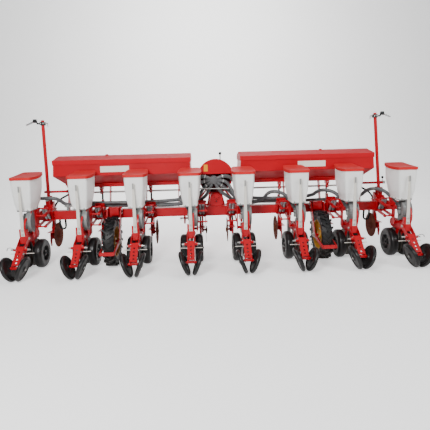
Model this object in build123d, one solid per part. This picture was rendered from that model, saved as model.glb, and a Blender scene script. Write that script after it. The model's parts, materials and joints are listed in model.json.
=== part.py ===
from build123d import *
import os
from math import cos, radians, sin, tan

os.makedirs("parts", exist_ok=True)

# Pneumatic row crop planter, eight rows, mounted on a three-point hitch
# Millimetres, +X to the right seen from behind, +Y forward, +Z up

# Row spacing and fits
ROWS = 8
SPACING = 700
FIT = 0.3
RUN = 0.05
WORK_GAP = 6

# Closing wheels, which set where the rear of the machine stands
CLOSE_Y = -566
CLOSE_R = 155
CLOSE_TREAD = 24
CLOSE_CAMBER = 21
CLOSE_X = 82
CLOSE_AXLE_R = 10

# Gauge wheels
GAUGE_Y = CLOSE_Y + 545
GAUGE_R = 190
GAUGE_IN = 42
GAUGE_OUT = 153
GAUGE_SHOULDER = 42
GAUGE_RIM_R = 100
GAUGE_AXLE_R = 12

# Drive wheels
DRIVE_X = 1400
DRIVE_Y = CLOSE_Y + 515
DRIVE_R = 325
DRIVE_W = 140
DRIVE_RIM_R = 200
DRIVE_AXLE_R = 17
LUGS = 18
LUG_H = 18
LUG_W = 22
LUG_ANGLE = 40

# Toolbar
BAR = 120
BAR_Y = CLOSE_Y + 830
BAR_Z = 650
BAR_LONG = 5200
BAR_WALL = 8
BAR_MIDDLE = 284
BAR_REAR = BAR_Y - BAR / 2
BAR_FRONT = BAR_Y + BAR / 2
BAR_TOP = BAR_Z + BAR / 2
BAR_LOW = BAR_Z - BAR / 2

# Row frames
FRAME_IN = 26
FRAME_OUT = 36
FRAME_TOP = 500
ARM_PIVOT_Y = CLOSE_Y + 300
ARM_PIVOT_Z = 450
ARM_PIN_R = 10
SCRAPER = (CLOSE_Y + 200, 282)
SCRAPER_R = 5

# Opener discs
DISC_Y = CLOSE_Y + 600
DISC_Z = 195
DISC_R = 180
DISC_THICK = 3.5
DISC_X = 12.5
DISC_TOE = 3

# Metering units
METER_X = 46
METER_Y = CLOSE_Y + 450
METER_Z = 645
METER_R = 138
METER_W = 56
SPIGOT_X = -20
SPIGOT_Y = METER_Y - 10
SPIGOT_TOP = 662
SADDLE_Z = 786

# Parallel linkages, measured from the row towards the machine's middle
LINK_HEAD_Y = BAR_REAR - 25
LINK_TAIL_Y = METER_Y + 30
LINK_Z = (600, 745)
LINK_DROP = 40
LINK_PIN_R = 10
LINK_PLATE_X = 82
LINK_INNER_X = 94
LINK_OUTER_X = 187
LINK_W = 8
SPRING_XS = (124, 165)
SPRING_R = 18
SPRING_Y = METER_Y + 140
SPRING_Z = 784

# Seed hoppers, each section at its height
HOPPER_Y = CLOSE_Y + 490
HOPPER_LONG = 400
HOPPER_WALL = 4
HOPPER_NECK_Z = 800
HOPPER_SECTIONS = (
    # height, centre along Y, width of the ends, width of the middle, length, corner radius
    (1290, HOPPER_Y, 238, 292, 402, 30),
    (1060, HOPPER_Y - 4, 226, 276, 388, 28),
    (900, HOPPER_Y - 20, 198, 236, 330, 26),
    (HOPPER_NECK_Z, METER_Y, 168, 176, 240, 22),
)
RIM_REAR_Z = 1209
RIM_MID_Z = 1219
RIM_FRONT_Z = 1252
LID_THICK = 5
LID_SKIRT = 22
HOPPER_HINGE_Y = HOPPER_Y + HOPPER_LONG / 2 + 16
HOPPER_HINGE_Z = RIM_FRONT_Z - 14
HOPPER_HINGE_R = 4

# Fertilizer tanks
TANK_IN = 350
TANK_OUT = 2200
TANK_REAR = CLOSE_Y + 760
TANK_FRONT = CLOSE_Y + 1256
TANK_TOP = 1385
TANK_CREASE = 1190
TANK_BELT = 1060
TANK_LOW = 1010
TANK_WALL = 5
LID_GAP = 8
LID_SHEET = 3
LID_LOW = 1340
LID_EDGE = 1402
LID_RIDGE = 1458
TANK_HINGE_Y = TANK_FRONT + 20
TANK_HINGE_Z = 1342
TANK_HINGE_R = 5
TANK_HINGE_XS = (500, 1275, 2050)
TANK_GRIP_X = 1528
STAND_XS = (530, 987, 1500, 2080)
STAND_FOOT = 27

# Vacuum fan, its manifold and the hoses
FAN_R = 250
FAN_Z = 1120
FAN_W = 110
HOOD_LOW = 1165
MANIFOLD_X = -30
MANIFOLD_Z = 1088
MANIFOLD_R = 55
SPIGOT_R = 23
HOSE_R = 25
SPIGOT_ANGLES = (20, -8, -36, -64)
LANE_LOW = 748
LANE_HIGH = 800
FERT_R = 14
OUTLET_Y = 1046

# Marker arms
MARK_X = 2320
MARK_Z = 880
MARK_TOP = 1950
MARK_R = 22
MARK_PIN_R = 20
MARKERS = (
    # side, name, how far the pole's top leans to the right
    (-1, "left", 0),
    (1, "right", -85),
)

# Three-point hitch and power take-off
HITCH_Y = CLOSE_Y + 1190
HITCH_X = 412.5
HITCH_Z = 480
HITCH_PIN_R = 14
HITCH_HALF = 45
PIN_END = 540
TOP_PIN_R = 12.5
MAST_H = 610
MAST_X = 45
PTO_R = 17.5
PTO_Z = 800
PTO_LONG = 80

# Parking legs
LEG_X = 1050
LEG_W = 50
LEG_SLEEVE = 8
LEG_Y = BAR_FRONT + LEG_W / 2 + LEG_SLEEVE - 1

# Fertilizer coulters, measured from the row towards the machine's middle
SHANK_X = 150
COULTER_X = 196
COULTER_R = 175
COULTER_Z = 350
DROP_X = 119
DROP_TOP = 470
DROP_R = 16
SHANK_Y = BAR_FRONT + FIT


def block(x0, x1, y0, y1, z0, z1):
    """Rectangular block between two limits on each axis."""
    middle = Pos((x0 + x1) / 2, (y0 + y1) / 2, (z0 + z1) / 2)
    return middle * Box(abs(x1 - x0), abs(y1 - y0), abs(z1 - z0))


def rod(start, end, radius):
    """Round bar from one point to another."""
    a = Vector(*start)
    axis = Vector(*end) - a
    return extrude(Plane(origin=a, z_dir=axis) * Circle(radius), axis.length)


def cross_rod(x0, x1, y, z, radius):
    """Round bar along X."""
    return rod((x0, y, z), (x1, y, z), radius)


def side_sheet(outline, x0, x1):
    """A face drawn in (y, z), thick from x0 to x1."""
    plane = Plane(origin=(min(x0, x1), 0, 0), x_dir=(0, 1, 0), z_dir=(1, 0, 0))
    return extrude(plane * outline, abs(x1 - x0), dir=(1, 0, 0))


def side_plate(points, x0, x1):
    """Plate cut to (y, z) points, thick from x0 to x1."""
    return side_sheet(Polygon(*points, align=None), x0, x1)


def end_plate(points, y0, y1):
    """Plate cut to (x, z) points, thick from y0 to y1."""
    plane = Plane(origin=(0, y0, 0), x_dir=(1, 0, 0), z_dir=(0, -1, 0))
    return extrude(plane * Polygon(*points, align=None), y1 - y0, dir=(0, 1, 0))


def link(start, start_r, end, end_r, x0, x1):
    """Flat link with rounded ends at two (y, z) points, thick from x0 to x1."""
    ends = [Pos(*start) * Circle(start_r), Pos(*end) * Circle(end_r)]
    return side_sheet(make_hull(ends[0].edges() + ends[1].edges()), x0, x1)


def turned(points):
    """Solid turned about the X axis from (x, radius) points."""
    return revolve(Plane.XY * Polygon(*points, align=None), axis=Axis.X)


def tube(points, radius):
    """Round hose along straight runs that are joined by tangent arcs."""
    places = [Vector(*p) for p in points]
    runs = [b - a for a, b in zip(places, places[1:])]
    bends = []
    for before, after in zip(runs, runs[1:]):
        turn = radians(before.get_angle(after))
        bends.append(0.45 * min(before.length, after.length) / tan(turn / 2))
    path = FilletPolyline(*points, radius=bends)
    return sweep(Plane(origin=path @ 0, z_dir=path % 0) * Circle(radius), path=path)


def row_places():
    """Row number, its place across, and the side that its linkage is on."""
    for number in range(1, ROWS + 1):
        x = (number - (ROWS + 1) / 2) * SPACING
        yield number, x, (1 if x < 0 else -1)


def each_row(shape, turned_over=False):
    """One shape at every row, mirrored on the right half if asked."""
    other = mirror(shape, Plane.YZ) if turned_over else shape
    return [Pos(x, 0, 0) * (shape if s > 0 else other) for _, x, s in row_places()]


def both_sides(shape):
    """A shape and its mirror image across the machine's middle."""
    return [shape, mirror(shape, Plane.YZ)]


def write(name, shapes):
    """One STEP file for a node that holds one or more solids."""
    solids = [solid for shape in shapes for solid in shape.solids()]
    node = solids[0] if len(solids) == 1 else Compound(children=solids)
    export_step(node, f"parts/{name}.step")


def close_centre(side):
    """Middle of a closing wheel and its axle's direction, at row place zero."""
    tilt = radians(CLOSE_CAMBER)
    z = (CLOSE_R - CLOSE_TREAD) * cos(tilt) + CLOSE_TREAD
    return (side * CLOSE_X, CLOSE_Y, z), (side * cos(tilt), 0, -sin(tilt))


def closing_wheel():
    """Smooth rubber wheel, its closed outer face to +X."""
    tread = CLOSE_R - CLOSE_TREAD
    bore = CLOSE_AXLE_R + RUN
    outline = Polyline((-CLOSE_TREAD, tread), (-12, 112), (-12, 38), (-20, 32), (-20, bore), (20, bore),
                       (20, 0), (32, 0), (32, 26), (20, 48), (14, 112), (CLOSE_TREAD, tread))
    rim = ThreePointArc((CLOSE_TREAD, tread), (0, CLOSE_R), (-CLOSE_TREAD, tread))
    return revolve(Plane.XY * make_face(outline.edges() + rim.edges()), axis=Axis.X)


def closing_wheels():
    """Two leaning wheels behind each row, each a body of its own."""
    wheel = closing_wheel()
    for number, x, _ in row_places():
        for side, name in ((-1, "left"), (1, "right")):
            (cx, cy, cz), _ = close_centre(side)
            turn = Rot(0, CLOSE_CAMBER, 0) if side > 0 else Rot(0, -CLOSE_CAMBER, 0) * Rot(0, 180, 0)
            write(f"closing_wheel_{name}_{number}", [Pos(x + cx, cy, cz) * turn * wheel])


def gauge_wheel():
    """Wide smooth tyre on its dished rim, to the right of the row."""
    rim = GAUGE_RIM_R
    bore = GAUGE_AXLE_R + RUN
    web = GAUGE_OUT - 42
    profile = Polygon((GAUGE_IN, rim), (GAUGE_IN, GAUGE_R), (GAUGE_OUT, GAUGE_R), (GAUGE_OUT, rim),
                      (web + 8, rim - 12), (web + 8, 44), (GAUGE_OUT - 8, 36), (GAUGE_OUT - 8, 0),
                      (GAUGE_OUT - 26, 0), (GAUGE_OUT - 26, bore), (GAUGE_IN + 16, bore),
                      (GAUGE_IN + 16, 32), (web, 44), (web, rim - 12), align=None)
    corners = [v for v in profile.vertices() if v.Y > GAUGE_R - 1]
    return revolve(Plane.XY * fillet(corners, GAUGE_SHOULDER), axis=Axis.X)


def gauge_wheels():
    """Twin gauge wheels of each row, one body on one axle line."""
    right = gauge_wheel()
    left = mirror(right, Plane.YZ)
    for number, x, _ in row_places():
        place = Pos(x, GAUGE_Y, GAUGE_R)
        write(f"gauge_wheels_{number}", [place * right, place * left])


def drive_tyre():
    """Farm tyre with two rows of slanted lugs that meet in a chevron."""
    half = DRIVE_W / 2
    r = DRIVE_R - LUG_H
    carcass = turned([(-half + 14, DRIVE_RIM_R + FIT), (-half + 2, r - 70), (-half + 8, r - 22), (-24, r),
                      (24, r), (half - 8, r - 22), (half - 2, r - 70), (half - 14, DRIVE_RIM_R + FIT)])
    limit = Box(DRIVE_W, 4 * DRIVE_R, 4 * DRIVE_R)
    step = 360 / LUGS
    lugs = []
    for side in (-1, 1):
        bar = Pos(side * half * 0.52, 0, r + LUG_H / 2 - 12) * Rot(0, 0, side * LUG_ANGLE)
        lug = (bar * Box(half * 1.5, LUG_W, LUG_H + 24)) & limit
        lugs += [Rot(n * step + side * step / 4, 0, 0) * lug for n in range(LUGS)]
    tyre = carcass + lugs
    return tyre & (Rot(0, 90, 0) * Cylinder(DRIVE_R, DRIVE_W))


def drive_rim():
    """Dished steel rim with its hub and wheel bolts' circle of holes."""
    half = DRIVE_W / 2
    r = DRIVE_RIM_R
    bore = DRIVE_AXLE_R + RUN
    rim = turned([(-half + 12, r), (-half + 12, r - 10), (-half + 22, r - 16), (-8, r - 26), (-4, 62),
                  (-40, 50), (-40, bore), (40, bore), (40, 50), (6, 62), (2, r - 26),
                  (half - 22, r - 16), (half - 12, r - 10), (half - 12, r)])
    for n in range(6):
        rim -= Rot(60 * n, 0, 0) * cross_rod(-20, 20, 0, 118, 20)
    return rim


def drive_wheels():
    """Ground drive wheels between rows two and three and rows six and seven."""
    tyre = drive_tyre()
    rim = drive_rim()
    for side, name in ((-1, "left"), (1, "right")):
        place = Pos(side * DRIVE_X, DRIVE_Y, DRIVE_R)
        write(f"drive_tyre_{name}", [place * tyre])
        write(f"drive_rim_{name}", [place * rim])


def wheel_fork():
    """Fork that straddles a drive wheel, with its axle and rear cross bar, at X zero."""
    arm_in = DRIVE_W / 2 + 14
    arm_out = arm_in + 10
    head_low = BAR_Z - 40
    head_top = BAR_TOP + 40
    axle = (DRIVE_Y, DRIVE_R)
    neck = (BAR_REAR - 46, BAR_Z + 46)
    tail = (CLOSE_Y + 168, 245)
    fork = block(-arm_out, arm_out, BAR_REAR - 14, BAR_REAR - FIT, head_low, head_top)
    fork += block(-60, 60, BAR_REAR - 70, BAR_REAR - 10, head_low + 30, head_top)
    for hand in (-1, 1):
        fork += link(neck, 44, axle, 42, hand * arm_in, hand * arm_out)
        fork += link(axle, 34, tail, 22, hand * arm_in, hand * arm_out)
    fork += block(-arm_out, arm_out, tail[0] - 6, tail[0] + 6, tail[1] - 22, tail[1] + 22)
    fork += cross_rod(-arm_out - 16, arm_out + 16, *axle, DRIVE_AXLE_R)
    return fork


def wheel_forks():
    """One fork for each drive wheel."""
    fork = wheel_fork()
    write("wheel_forks", [Pos(side * DRIVE_X, 0, 0) * fork for side in (-1, 1)])


def hitch_half():
    """Right lower link clevis, mast plate and stay of the headstock."""
    reach = HITCH_Y + 42
    eye = (HITCH_Y, HITCH_Z + MAST_H)
    part = None
    for offset in (-HITCH_HALF, HITCH_HALF):
        x = HITCH_X + offset
        lug = side_plate([(BAR_FRONT - 1, BAR_LOW), (BAR_FRONT + 80, HITCH_Z - 42), (reach, HITCH_Z - 42),
                          (reach, HITCH_Z + 38), (BAR_FRONT + 90, BAR_TOP), (BAR_FRONT - 1, BAR_TOP)],
                         x - 10, x + 10)
        part = lug if part is None else part + lug
    part += cross_rod(HITCH_X - 62, PIN_END, HITCH_Y, HITCH_Z, HITCH_PIN_R)
    ear = link(eye, 40, (eye[0] - 60, eye[1] - 110), 46, MAST_X - 8, MAST_X + 8)
    part += ear - cross_rod(MAST_X - 9, MAST_X + 9, *eye, TOP_PIN_R)
    part += cross_rod(0, MAST_X, eye[0] - 60, eye[1] - 116, 18)
    part += rod((MAST_X, eye[0] - 60, eye[1] - 110), (118, BAR_FRONT - 8, BAR_TOP - 22), 20)
    stay_foot = (HITCH_X - HITCH_HALF, HITCH_Y - 120, BAR_TOP - 90)
    stay = rod((MAST_X + 4, eye[0] - 40, eye[1] - 80), stay_foot, 13)
    return part + stay


def leg_sleeve():
    """Square sleeve for the right parking leg."""
    half = LEG_W / 2 + RUN
    wall = LEG_W / 2 + LEG_SLEEVE
    sleeve = block(LEG_X - wall, LEG_X + wall, LEG_Y - wall, LEG_Y + wall, BAR_LOW - 60, BAR_TOP + 20)
    return sleeve - block(LEG_X - half, LEG_X + half, LEG_Y - half, LEG_Y + half, BAR_LOW - 60, BAR_TOP + 20)


def toolbar():
    """Square main bar with its thicker middle and the three-point headstock."""
    half = BAR_LONG / 2
    wall = BAR_WALL
    bar = block(-half, half, BAR_REAR, BAR_FRONT, BAR_LOW, BAR_TOP)
    bar -= block(-half + wall, half - wall, BAR_REAR + wall, BAR_FRONT - wall,
                 BAR_LOW + wall, BAR_TOP - wall)
    middle = BAR_MIDDLE / 2
    for z0, z1 in ((BAR_TOP - 1, BAR_TOP + 6), (BAR_LOW - 6, BAR_LOW + 1)):
        bar += block(-middle, middle, BAR_REAR - 8, BAR_FRONT, z0, z1)
    for part in both_sides(hitch_half()) + both_sides(leg_sleeve()):
        bar += part
    write("toolbar", [bar])


def parking_legs():
    """Square legs that slide in sleeves in front of the toolbar."""
    half = LEG_W / 2
    for side, name in ((-1, "left"), (1, "right")):
        x = side * LEG_X
        leg = block(x - half, x + half, LEG_Y - half, LEG_Y + half, 8, BAR_TOP + 50)
        leg += block(x - 80, x + 80, LEG_Y - 80, LEG_Y + 80, 0, 8)
        write(f"parking_leg_{name}", [leg])


def head_bracket():
    """Round-backed head bracket with its square bolts round the toolbar."""
    outer = LINK_OUTER_X + LINK_W + 2
    inner = LINK_PLATE_X + 2
    y1 = BAR_REAR - FIT
    arc = ThreePointArc((y1, 805), (y1 - 66, 680), (y1, 575))
    face = make_face(arc.edges() + Line((y1, 575), (y1, 805)).edges())
    bracket = block(inner, outer + LINK_W, y1 - 10, y1, 575, 805)
    for x in (inner, outer):
        bracket += side_sheet(face, x, x + LINK_W)
    for x in (inner + 14, outer - 4):
        for z0, z1 in ((BAR_TOP + FIT, BAR_TOP + 12), (BAR_LOW - 12, BAR_LOW - FIT)):
            bracket += block(x - 6, x + 6, y1 - 2, BAR_FRONT + 12, z0, z1)
        bracket += block(x - 6, x + 6, BAR_FRONT + FIT, BAR_FRONT + 12, BAR_LOW - 12, BAR_TOP + 12)
    return bracket


def linkage():
    """Head bracket, four parallel arms and pins of a left-half row."""
    part = head_bracket()
    far = LINK_OUTER_X + LINK_W
    for z in LINK_Z:
        low = z - LINK_DROP
        part += cross_rod(LINK_PLATE_X + 2, far + 16, LINK_HEAD_Y, z, LINK_PIN_R)
        for x in (LINK_INNER_X, LINK_OUTER_X):
            part += link((LINK_HEAD_Y, z), 20, (LINK_TAIL_Y, low), 20, x, x + LINK_W)
        part += cross_rod(LINK_PLATE_X + 10 + FIT, far + 10, LINK_TAIL_Y, low, LINK_PIN_R)
    return part


def row_spring(x):
    """Round body of one spring and its two hooks."""
    low = Vector(x, LINK_HEAD_Y, LINK_Z[0])
    high = Vector(x, SPRING_Y, SPRING_Z)
    way = (high - low).normalized()
    seat = LINK_PIN_R + FIT
    hook = rod(low + way * seat, high - way * seat, 4)
    return hook + rod(low + way * 30, high - way * 26, SPRING_R)


def row_springs():
    """Two springs in each linkage."""
    pair = row_spring(SPRING_XS[0]) + row_spring(SPRING_XS[1])
    write("row_springs", each_row(pair, turned_over=True))


def frame_base():
    """Side plates, opener shank and gauge wheel arms, the same in every row."""
    base = [(CLOSE_Y + 282, 412), (CLOSE_Y + 268, 460), (CLOSE_Y + 300, FRAME_TOP),
            (CLOSE_Y + 640, FRAME_TOP), (CLOSE_Y + 668, 470), (CLOSE_Y + 668, 420), (CLOSE_Y + 610, 388),
            (CLOSE_Y + 400, 388)]
    frame = block(-FRAME_OUT, FRAME_OUT, DISC_Y - 40, DISC_Y + 40, 390, FRAME_TOP)
    for side in (-1, 1):
        frame += side_plate(base, side * FRAME_IN, side * FRAME_OUT)
    frame -= cross_rod(-FRAME_OUT - 1, FRAME_OUT + 1, ARM_PIVOT_Y, ARM_PIVOT_Z, ARM_PIN_R + RUN)
    frame += side_plate([(DISC_Y - 40, 400), (DISC_Y - 34, 120), (DISC_Y - 6, 40), (DISC_Y + 34, 40),
                         (DISC_Y + 46, 150), (DISC_Y + 40, 400)], -7, 7)
    frame += cross_rod(-DISC_X + 3.3, DISC_X - 3.3, DISC_Y, DISC_Z, 25)
    for side in (-1, 1):
        frame += link((CLOSE_Y + 430, 425), 26, (GAUGE_Y, GAUGE_R), 24, side * FRAME_IN, side * FRAME_OUT)
        frame += cross_rod(side * FRAME_IN, side * (GAUGE_OUT - 27), GAUGE_Y, GAUGE_R, GAUGE_AXLE_R)
    return frame


def meter_cheek():
    """Round cheek plate beside the metering unit, up to the hopper's saddle."""
    x0 = METER_X + METER_W / 2 + FIT
    cheek = side_sheet(Pos(METER_Y, METER_Z) * Circle(METER_R + 8), x0, x0 + 8)
    cheek += side_plate([(METER_Y - 70, 440), (METER_Y + 70, 440), (METER_Y + 110, METER_Z),
                         (METER_Y + 90, SADDLE_Z - FIT), (METER_Y - 90, SADDLE_Z - FIT),
                         (METER_Y - 110, METER_Z)], x0, x0 + 8)
    cheek -= block(x0 - 1, x0 + 9, METER_Y - METER_R, METER_Y + METER_R, SADDLE_Z - FIT, SADDLE_Z + METER_R)
    return cheek + cross_rod(FRAME_IN, x0 + 4, METER_Y + 30, 470, 18)


def link_plate():
    """Rear plate of the parallel linkage with its horn for the springs."""
    x0 = LINK_PLATE_X
    plate = side_plate([(METER_Y - 14, 452), (METER_Y + 56, 452), (METER_Y + 66, 690),
                        (SPRING_Y + 14, SPRING_Z - 18), (SPRING_Y + 14, SPRING_Z + 12),
                        (SPRING_Y - 22, SPRING_Z + 12), (METER_Y - 14, 735)], x0, x0 + 10)
    plate += cross_rod(FRAME_IN, x0 + 4, METER_Y + 30, 470, 18)
    return plate + cross_rod(x0, SPRING_XS[1] + SPRING_R + 4, SPRING_Y, SPRING_Z, LINK_PIN_R)


def row_frames():
    """Frames that carry the openers, wheels, metering units and hoppers."""
    common = frame_base() + meter_cheek()
    left = common + link_plate()
    right = common + mirror(link_plate(), Plane.YZ)
    write("row_frames", [Pos(x, 0, 0) * (left if s > 0 else right) for _, x, s in row_places()])


def opener_discs():
    """Two toed-in seed furrow discs between the gauge wheels."""
    disc = Rot(0, 90, 0) * Cylinder(DISC_R, DISC_THICK)
    pair = []
    for side in (-1, 1):
        pair.append(Pos(side * DISC_X, DISC_Y, DISC_Z) * Rot(0, 0, side * DISC_TOE) * disc)
    write("opener_discs", [shape for half in pair for shape in each_row(half)])


def metering_unit():
    """Upright vacuum seed meter with its saddle, hose elbow and seed tube."""
    x0 = METER_X - METER_W / 2
    x1 = METER_X + METER_W / 2
    unit = side_sheet(Pos(METER_Y, METER_Z) * Circle(METER_R), x0, x1)
    unit += side_plate([(METER_Y - 96, METER_Z), (METER_Y + 96, METER_Z), (METER_Y + 84, SADDLE_Z + 1),
                        (METER_Y - 84, SADDLE_Z + 1)], x0, x1)
    unit += side_sheet(Pos(METER_Y, METER_Z) * Circle(METER_R + 6), METER_X - 5, METER_X + 5)
    unit += cross_rod(x0 - 12, x0 + 1, METER_Y, METER_Z, 34)
    rib = Pos(x0 - 3, 0, 82) * Box(10, 8, 88)
    for n in range(6):
        unit += Pos(0, METER_Y, METER_Z) * Rot(60 * n + 30, 0, 0) * rib
    saddle = LINK_PLATE_X - FIT
    unit += block(-saddle, saddle, METER_Y - 120, METER_Y + 120, SADDLE_Z, HOPPER_NECK_Z - FIT)
    unit += rod((SPIGOT_X, SPIGOT_Y, 596), (SPIGOT_X, SPIGOT_Y, SPIGOT_TOP), SPIGOT_R)
    unit += block(SPIGOT_X, x0 + 1, SPIGOT_Y - 16, SPIGOT_Y + 16, 600, 632)
    unit += block(-10, METER_X, METER_Y + 34, METER_Y + 58, FRAME_TOP + FIT, 560)
    return unit + rod((0, METER_Y + 46, 60), (0, METER_Y + 46, 520), 8)


def metering_units():
    """One seed meter in every row."""
    write("metering_units", each_row(metering_unit()))


def hopper_section(width, middle, length, corner):
    """Plan shape of a seed hopper: bowed sides and rounded corners."""
    w = width / 2
    h = length / 2
    right = ThreePointArc((w, -h), (middle / 2, 0), (w, h))
    left = ThreePointArc((-w, h), (-middle / 2, 0), (-w, -h))
    rear = Line((-w, -h), (w, -h))
    front = Line((w, h), (-w, h))
    face = make_face([rear, right, front, left])
    return fillet(face.vertices(), corner)


def hopper_loft(inset):
    """Hopper form from above its rim down to its neck, drawn in by a wall."""
    faces = []
    for z, y, width, middle, length, corner in HOPPER_SECTIONS:
        face = hopper_section(width - 2 * inset, middle - 2 * inset, length - 2 * inset, corner - inset)
        faces.append(Pos(0, y, z) * face)
    form = None
    for upper, lower in zip(faces, faces[1:]):
        span = loft(Sketch() + [lower, upper], ruled=True)
        form = span if form is None else form + span
    return form


def rim_band(low, high):
    """Band between two copies of the rim's curve, raised by low and high."""
    half = HOPPER_LONG
    slope = (RIM_FRONT_Z - RIM_REAR_Z) / HOPPER_LONG
    bow = (RIM_REAR_Z + RIM_FRONT_Z) / 2 - RIM_MID_Z

    def curve(rise):
        top = RIM_MID_Z + 4 * bow + rise
        rear = (HOPPER_Y - half, top - slope * half)
        front = (HOPPER_Y + half, top + slope * half)
        return ThreePointArc(rear, (HOPPER_Y, RIM_MID_Z + rise), front)

    lower = curve(low)
    upper = curve(high)
    rear = Line(lower @ 0, upper @ 0)
    front = Line(lower @ 1, upper @ 1)
    return side_sheet(make_face([lower, front, upper, rear]), -200, 200)


def seed_hopper():
    """Thin-walled hopper with its neck band and lid hinge lugs."""
    shell = (hopper_loft(0) - hopper_loft(HOPPER_WALL)) - rim_band(0, 200)
    neck = Pos(0, METER_Y, HOPPER_NECK_Z)
    band = neck * extrude(hopper_section(182, 190, 264, 26), 16)
    shell += band - neck * extrude(hopper_section(162, 170, 234, 20), 16)
    for side in (-1, 1):
        lug = link((HOPPER_HINGE_Y, HOPPER_HINGE_Z), 9, (HOPPER_HINGE_Y - 18, HOPPER_HINGE_Z - 12), 9,
                   side * 60, side * 70)
        shell += lug - cross_rod(side * 59, side * 71, HOPPER_HINGE_Y, HOPPER_HINGE_Z, HOPPER_HINGE_R + RUN)
    return shell


def seed_hoppers():
    """One hopper in every row."""
    write("seed_hoppers", each_row(seed_hopper()))


def hopper_lid():
    """Curved lid with a skirt round the rim and its hinge pin."""
    _, y, width, middle, length, corner = HOPPER_SECTIONS[0]
    forms = []
    for grow in (WORK_GAP + 3, WORK_GAP):
        face = hopper_section(width + 2 * grow, middle + 2 * grow, length + 2 * grow, corner + grow)
        forms.append(Pos(0, y, RIM_REAR_Z - 100) * extrude(face, 300))
    top = forms[0] & rim_band(-LID_SKIRT, WORK_GAP + LID_THICK)
    lid = top - (forms[1] & rim_band(-2 * LID_SKIRT, WORK_GAP))
    lid -= block(-78, 78, y + length / 2 - 4, y + length / 2 + 20,
                 RIM_FRONT_Z - 60, RIM_FRONT_Z + WORK_GAP - 1)
    for side in (-1, 1):
        lid += link((HOPPER_HINGE_Y, HOPPER_HINGE_Z), 7, (HOPPER_HINGE_Y - 14, RIM_FRONT_Z + 6), 4,
                    side * 44, side * 54)
    return lid + cross_rod(-70, 70, HOPPER_HINGE_Y, HOPPER_HINGE_Z, HOPPER_HINGE_R)


def hopper_lids():
    """One hinged lid on each hopper."""
    lid = hopper_lid()
    for number, x, _ in row_places():
        write(f"hopper_lid_{number}", [Pos(x, 0, 0) * lid])


def tail_web(first, last, thick, width):
    """Flat web along the closing arm's tail, between its two flanges."""
    top = Vector(0, CLOSE_Y + 180, 352)
    low = Vector(0, CLOSE_Y, 160)
    way = (low - top).normalized()
    up = Vector(0, way.Z, -way.Y)
    inner = [top + way * first + up * 18, top + way * last + up * 18]
    inner += [inner[1] + up * thick, inner[0] + up * thick]
    web = side_plate([(p.Y, p.Z) for p in inner], -width, width)
    for along in (62, 112, 162, 208):
        centre = top + way * along + up * 18
        web -= rod(centre - up * 12, centre + up * 18, 11)
    return web


def closing_arm():
    """Rear arm of a row: yoke, press bar, laddered tail and stub axles."""
    knee = (CLOSE_Y + 180, 352)
    hub = (CLOSE_Y, 160)
    pivot = (ARM_PIVOT_Y, ARM_PIVOT_Z)
    arm = block(-46, 46, CLOSE_Y + 262, CLOSE_Y + 268, 452, 575)
    for side in (-1, 1):
        arm += link(pivot, 30, (CLOSE_Y + 286, 555), 20, side * 38, side * 46)
        arm += link(pivot, 30, knee, 30, side * 44, side * 52)
        arm += link(knee, 30, hub, 24, side * 36, side * 45)
        arm += link(knee, 14, SCRAPER, 12, side * 44, side * 50)
    arm -= cross_rod(-52, 52, *SCRAPER, SCRAPER_R + FIT)
    arm += tail_web(-14, 246, 6, 38)
    arm += cross_rod(-52, 52, *pivot, ARM_PIN_R)
    arm += cross_rod(-84, 84, CLOSE_Y + 168, 340, 17)
    arm += cross_rod(-116, 116, CLOSE_Y + 168, 340, 9)
    arm += block(-40, 40, CLOSE_Y - 16, CLOSE_Y + 16, 146, 176)
    for side in (-1, 1):
        (cx, cy, cz), (dx, _, dz) = close_centre(side)
        arm += rod((cx - 52 * dx, cy, cz - 52 * dz), (cx + 18 * dx, cy, cz + 18 * dz), CLOSE_AXLE_R)
        arm += rod((cx - 52 * dx, cy, cz - 52 * dz), (cx - 27 * dx, cy, cz - 27 * dz), 16)
    return arm


def press_bar():
    """Arched bar from the closing arm's yoke up behind the metering unit."""
    outer = ThreePointArc((CLOSE_Y + 308, 712), (CLOSE_Y + 246, 640), (CLOSE_Y + 262, 500))
    inner = ThreePointArc((CLOSE_Y + 308, 701), (CLOSE_Y + 257, 638), (CLOSE_Y + 273, 500))
    top = Line(outer @ 0, inner @ 0)
    low = Line(outer @ 1, inner @ 1)
    return side_sheet(make_face([outer, low, inner, top]), 26, 46)


def closing_arms():
    """Rear arms with the stub axles of the closing wheels."""
    write("closing_arms", each_row(closing_arm() + press_bar()))


def depth_levers():
    """Upright adjusting levers behind the hoppers, with their grips, and the scraper rods."""
    y1 = CLOSE_Y + 262 - FIT
    lever = end_plate([(-23, 486), (23, 486), (13, 1090), (-13, 1090)], y1 - 8, y1)
    lever += block(-14, 14, y1 - 14, y1 + 6, 1046, 1112)
    scraper = cross_rod(-145, 145, *SCRAPER, SCRAPER_R)
    write("depth_levers", each_row(lever) + each_row(scraper))


def coulter_shank():
    """Shank, clamp, plate and boot of a left-half fertilizer coulter."""
    y0 = SHANK_Y
    shank = block(SHANK_X - 13, SHANK_X + 13, y0, y0 + 60, 320, 830)
    for z in (BAR_TOP + 8, BAR_LOW - 20):
        shank += block(SHANK_X - 34, SHANK_X + 34, y0 - 0.2, y0 + 70, z, z + 12)
    shank += cross_rod(SHANK_X, COULTER_X + 14, y0 + 30, COULTER_Z, 15)
    shank += block(SHANK_X - 60, COULTER_X - 12, y0 - 110, y0 + 40, 404, 412)
    shank += rod((DROP_X, y0 + 30, 290), (DROP_X, y0 + 30, DROP_TOP), DROP_R)
    boot = [(y0 + 20, 410), (y0 - 100, 410), (y0 - 120, 300), (y0 - 96, 215), (y0 - 80, 215), (y0 - 60, 300)]
    return shank + side_plate(boot, SHANK_X - 24, SHANK_X - 14)


def coulter_shanks():
    """Fertilizer shanks clamped to the front of the toolbar."""
    write("coulter_shanks", each_row(coulter_shank(), turned_over=True))


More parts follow.
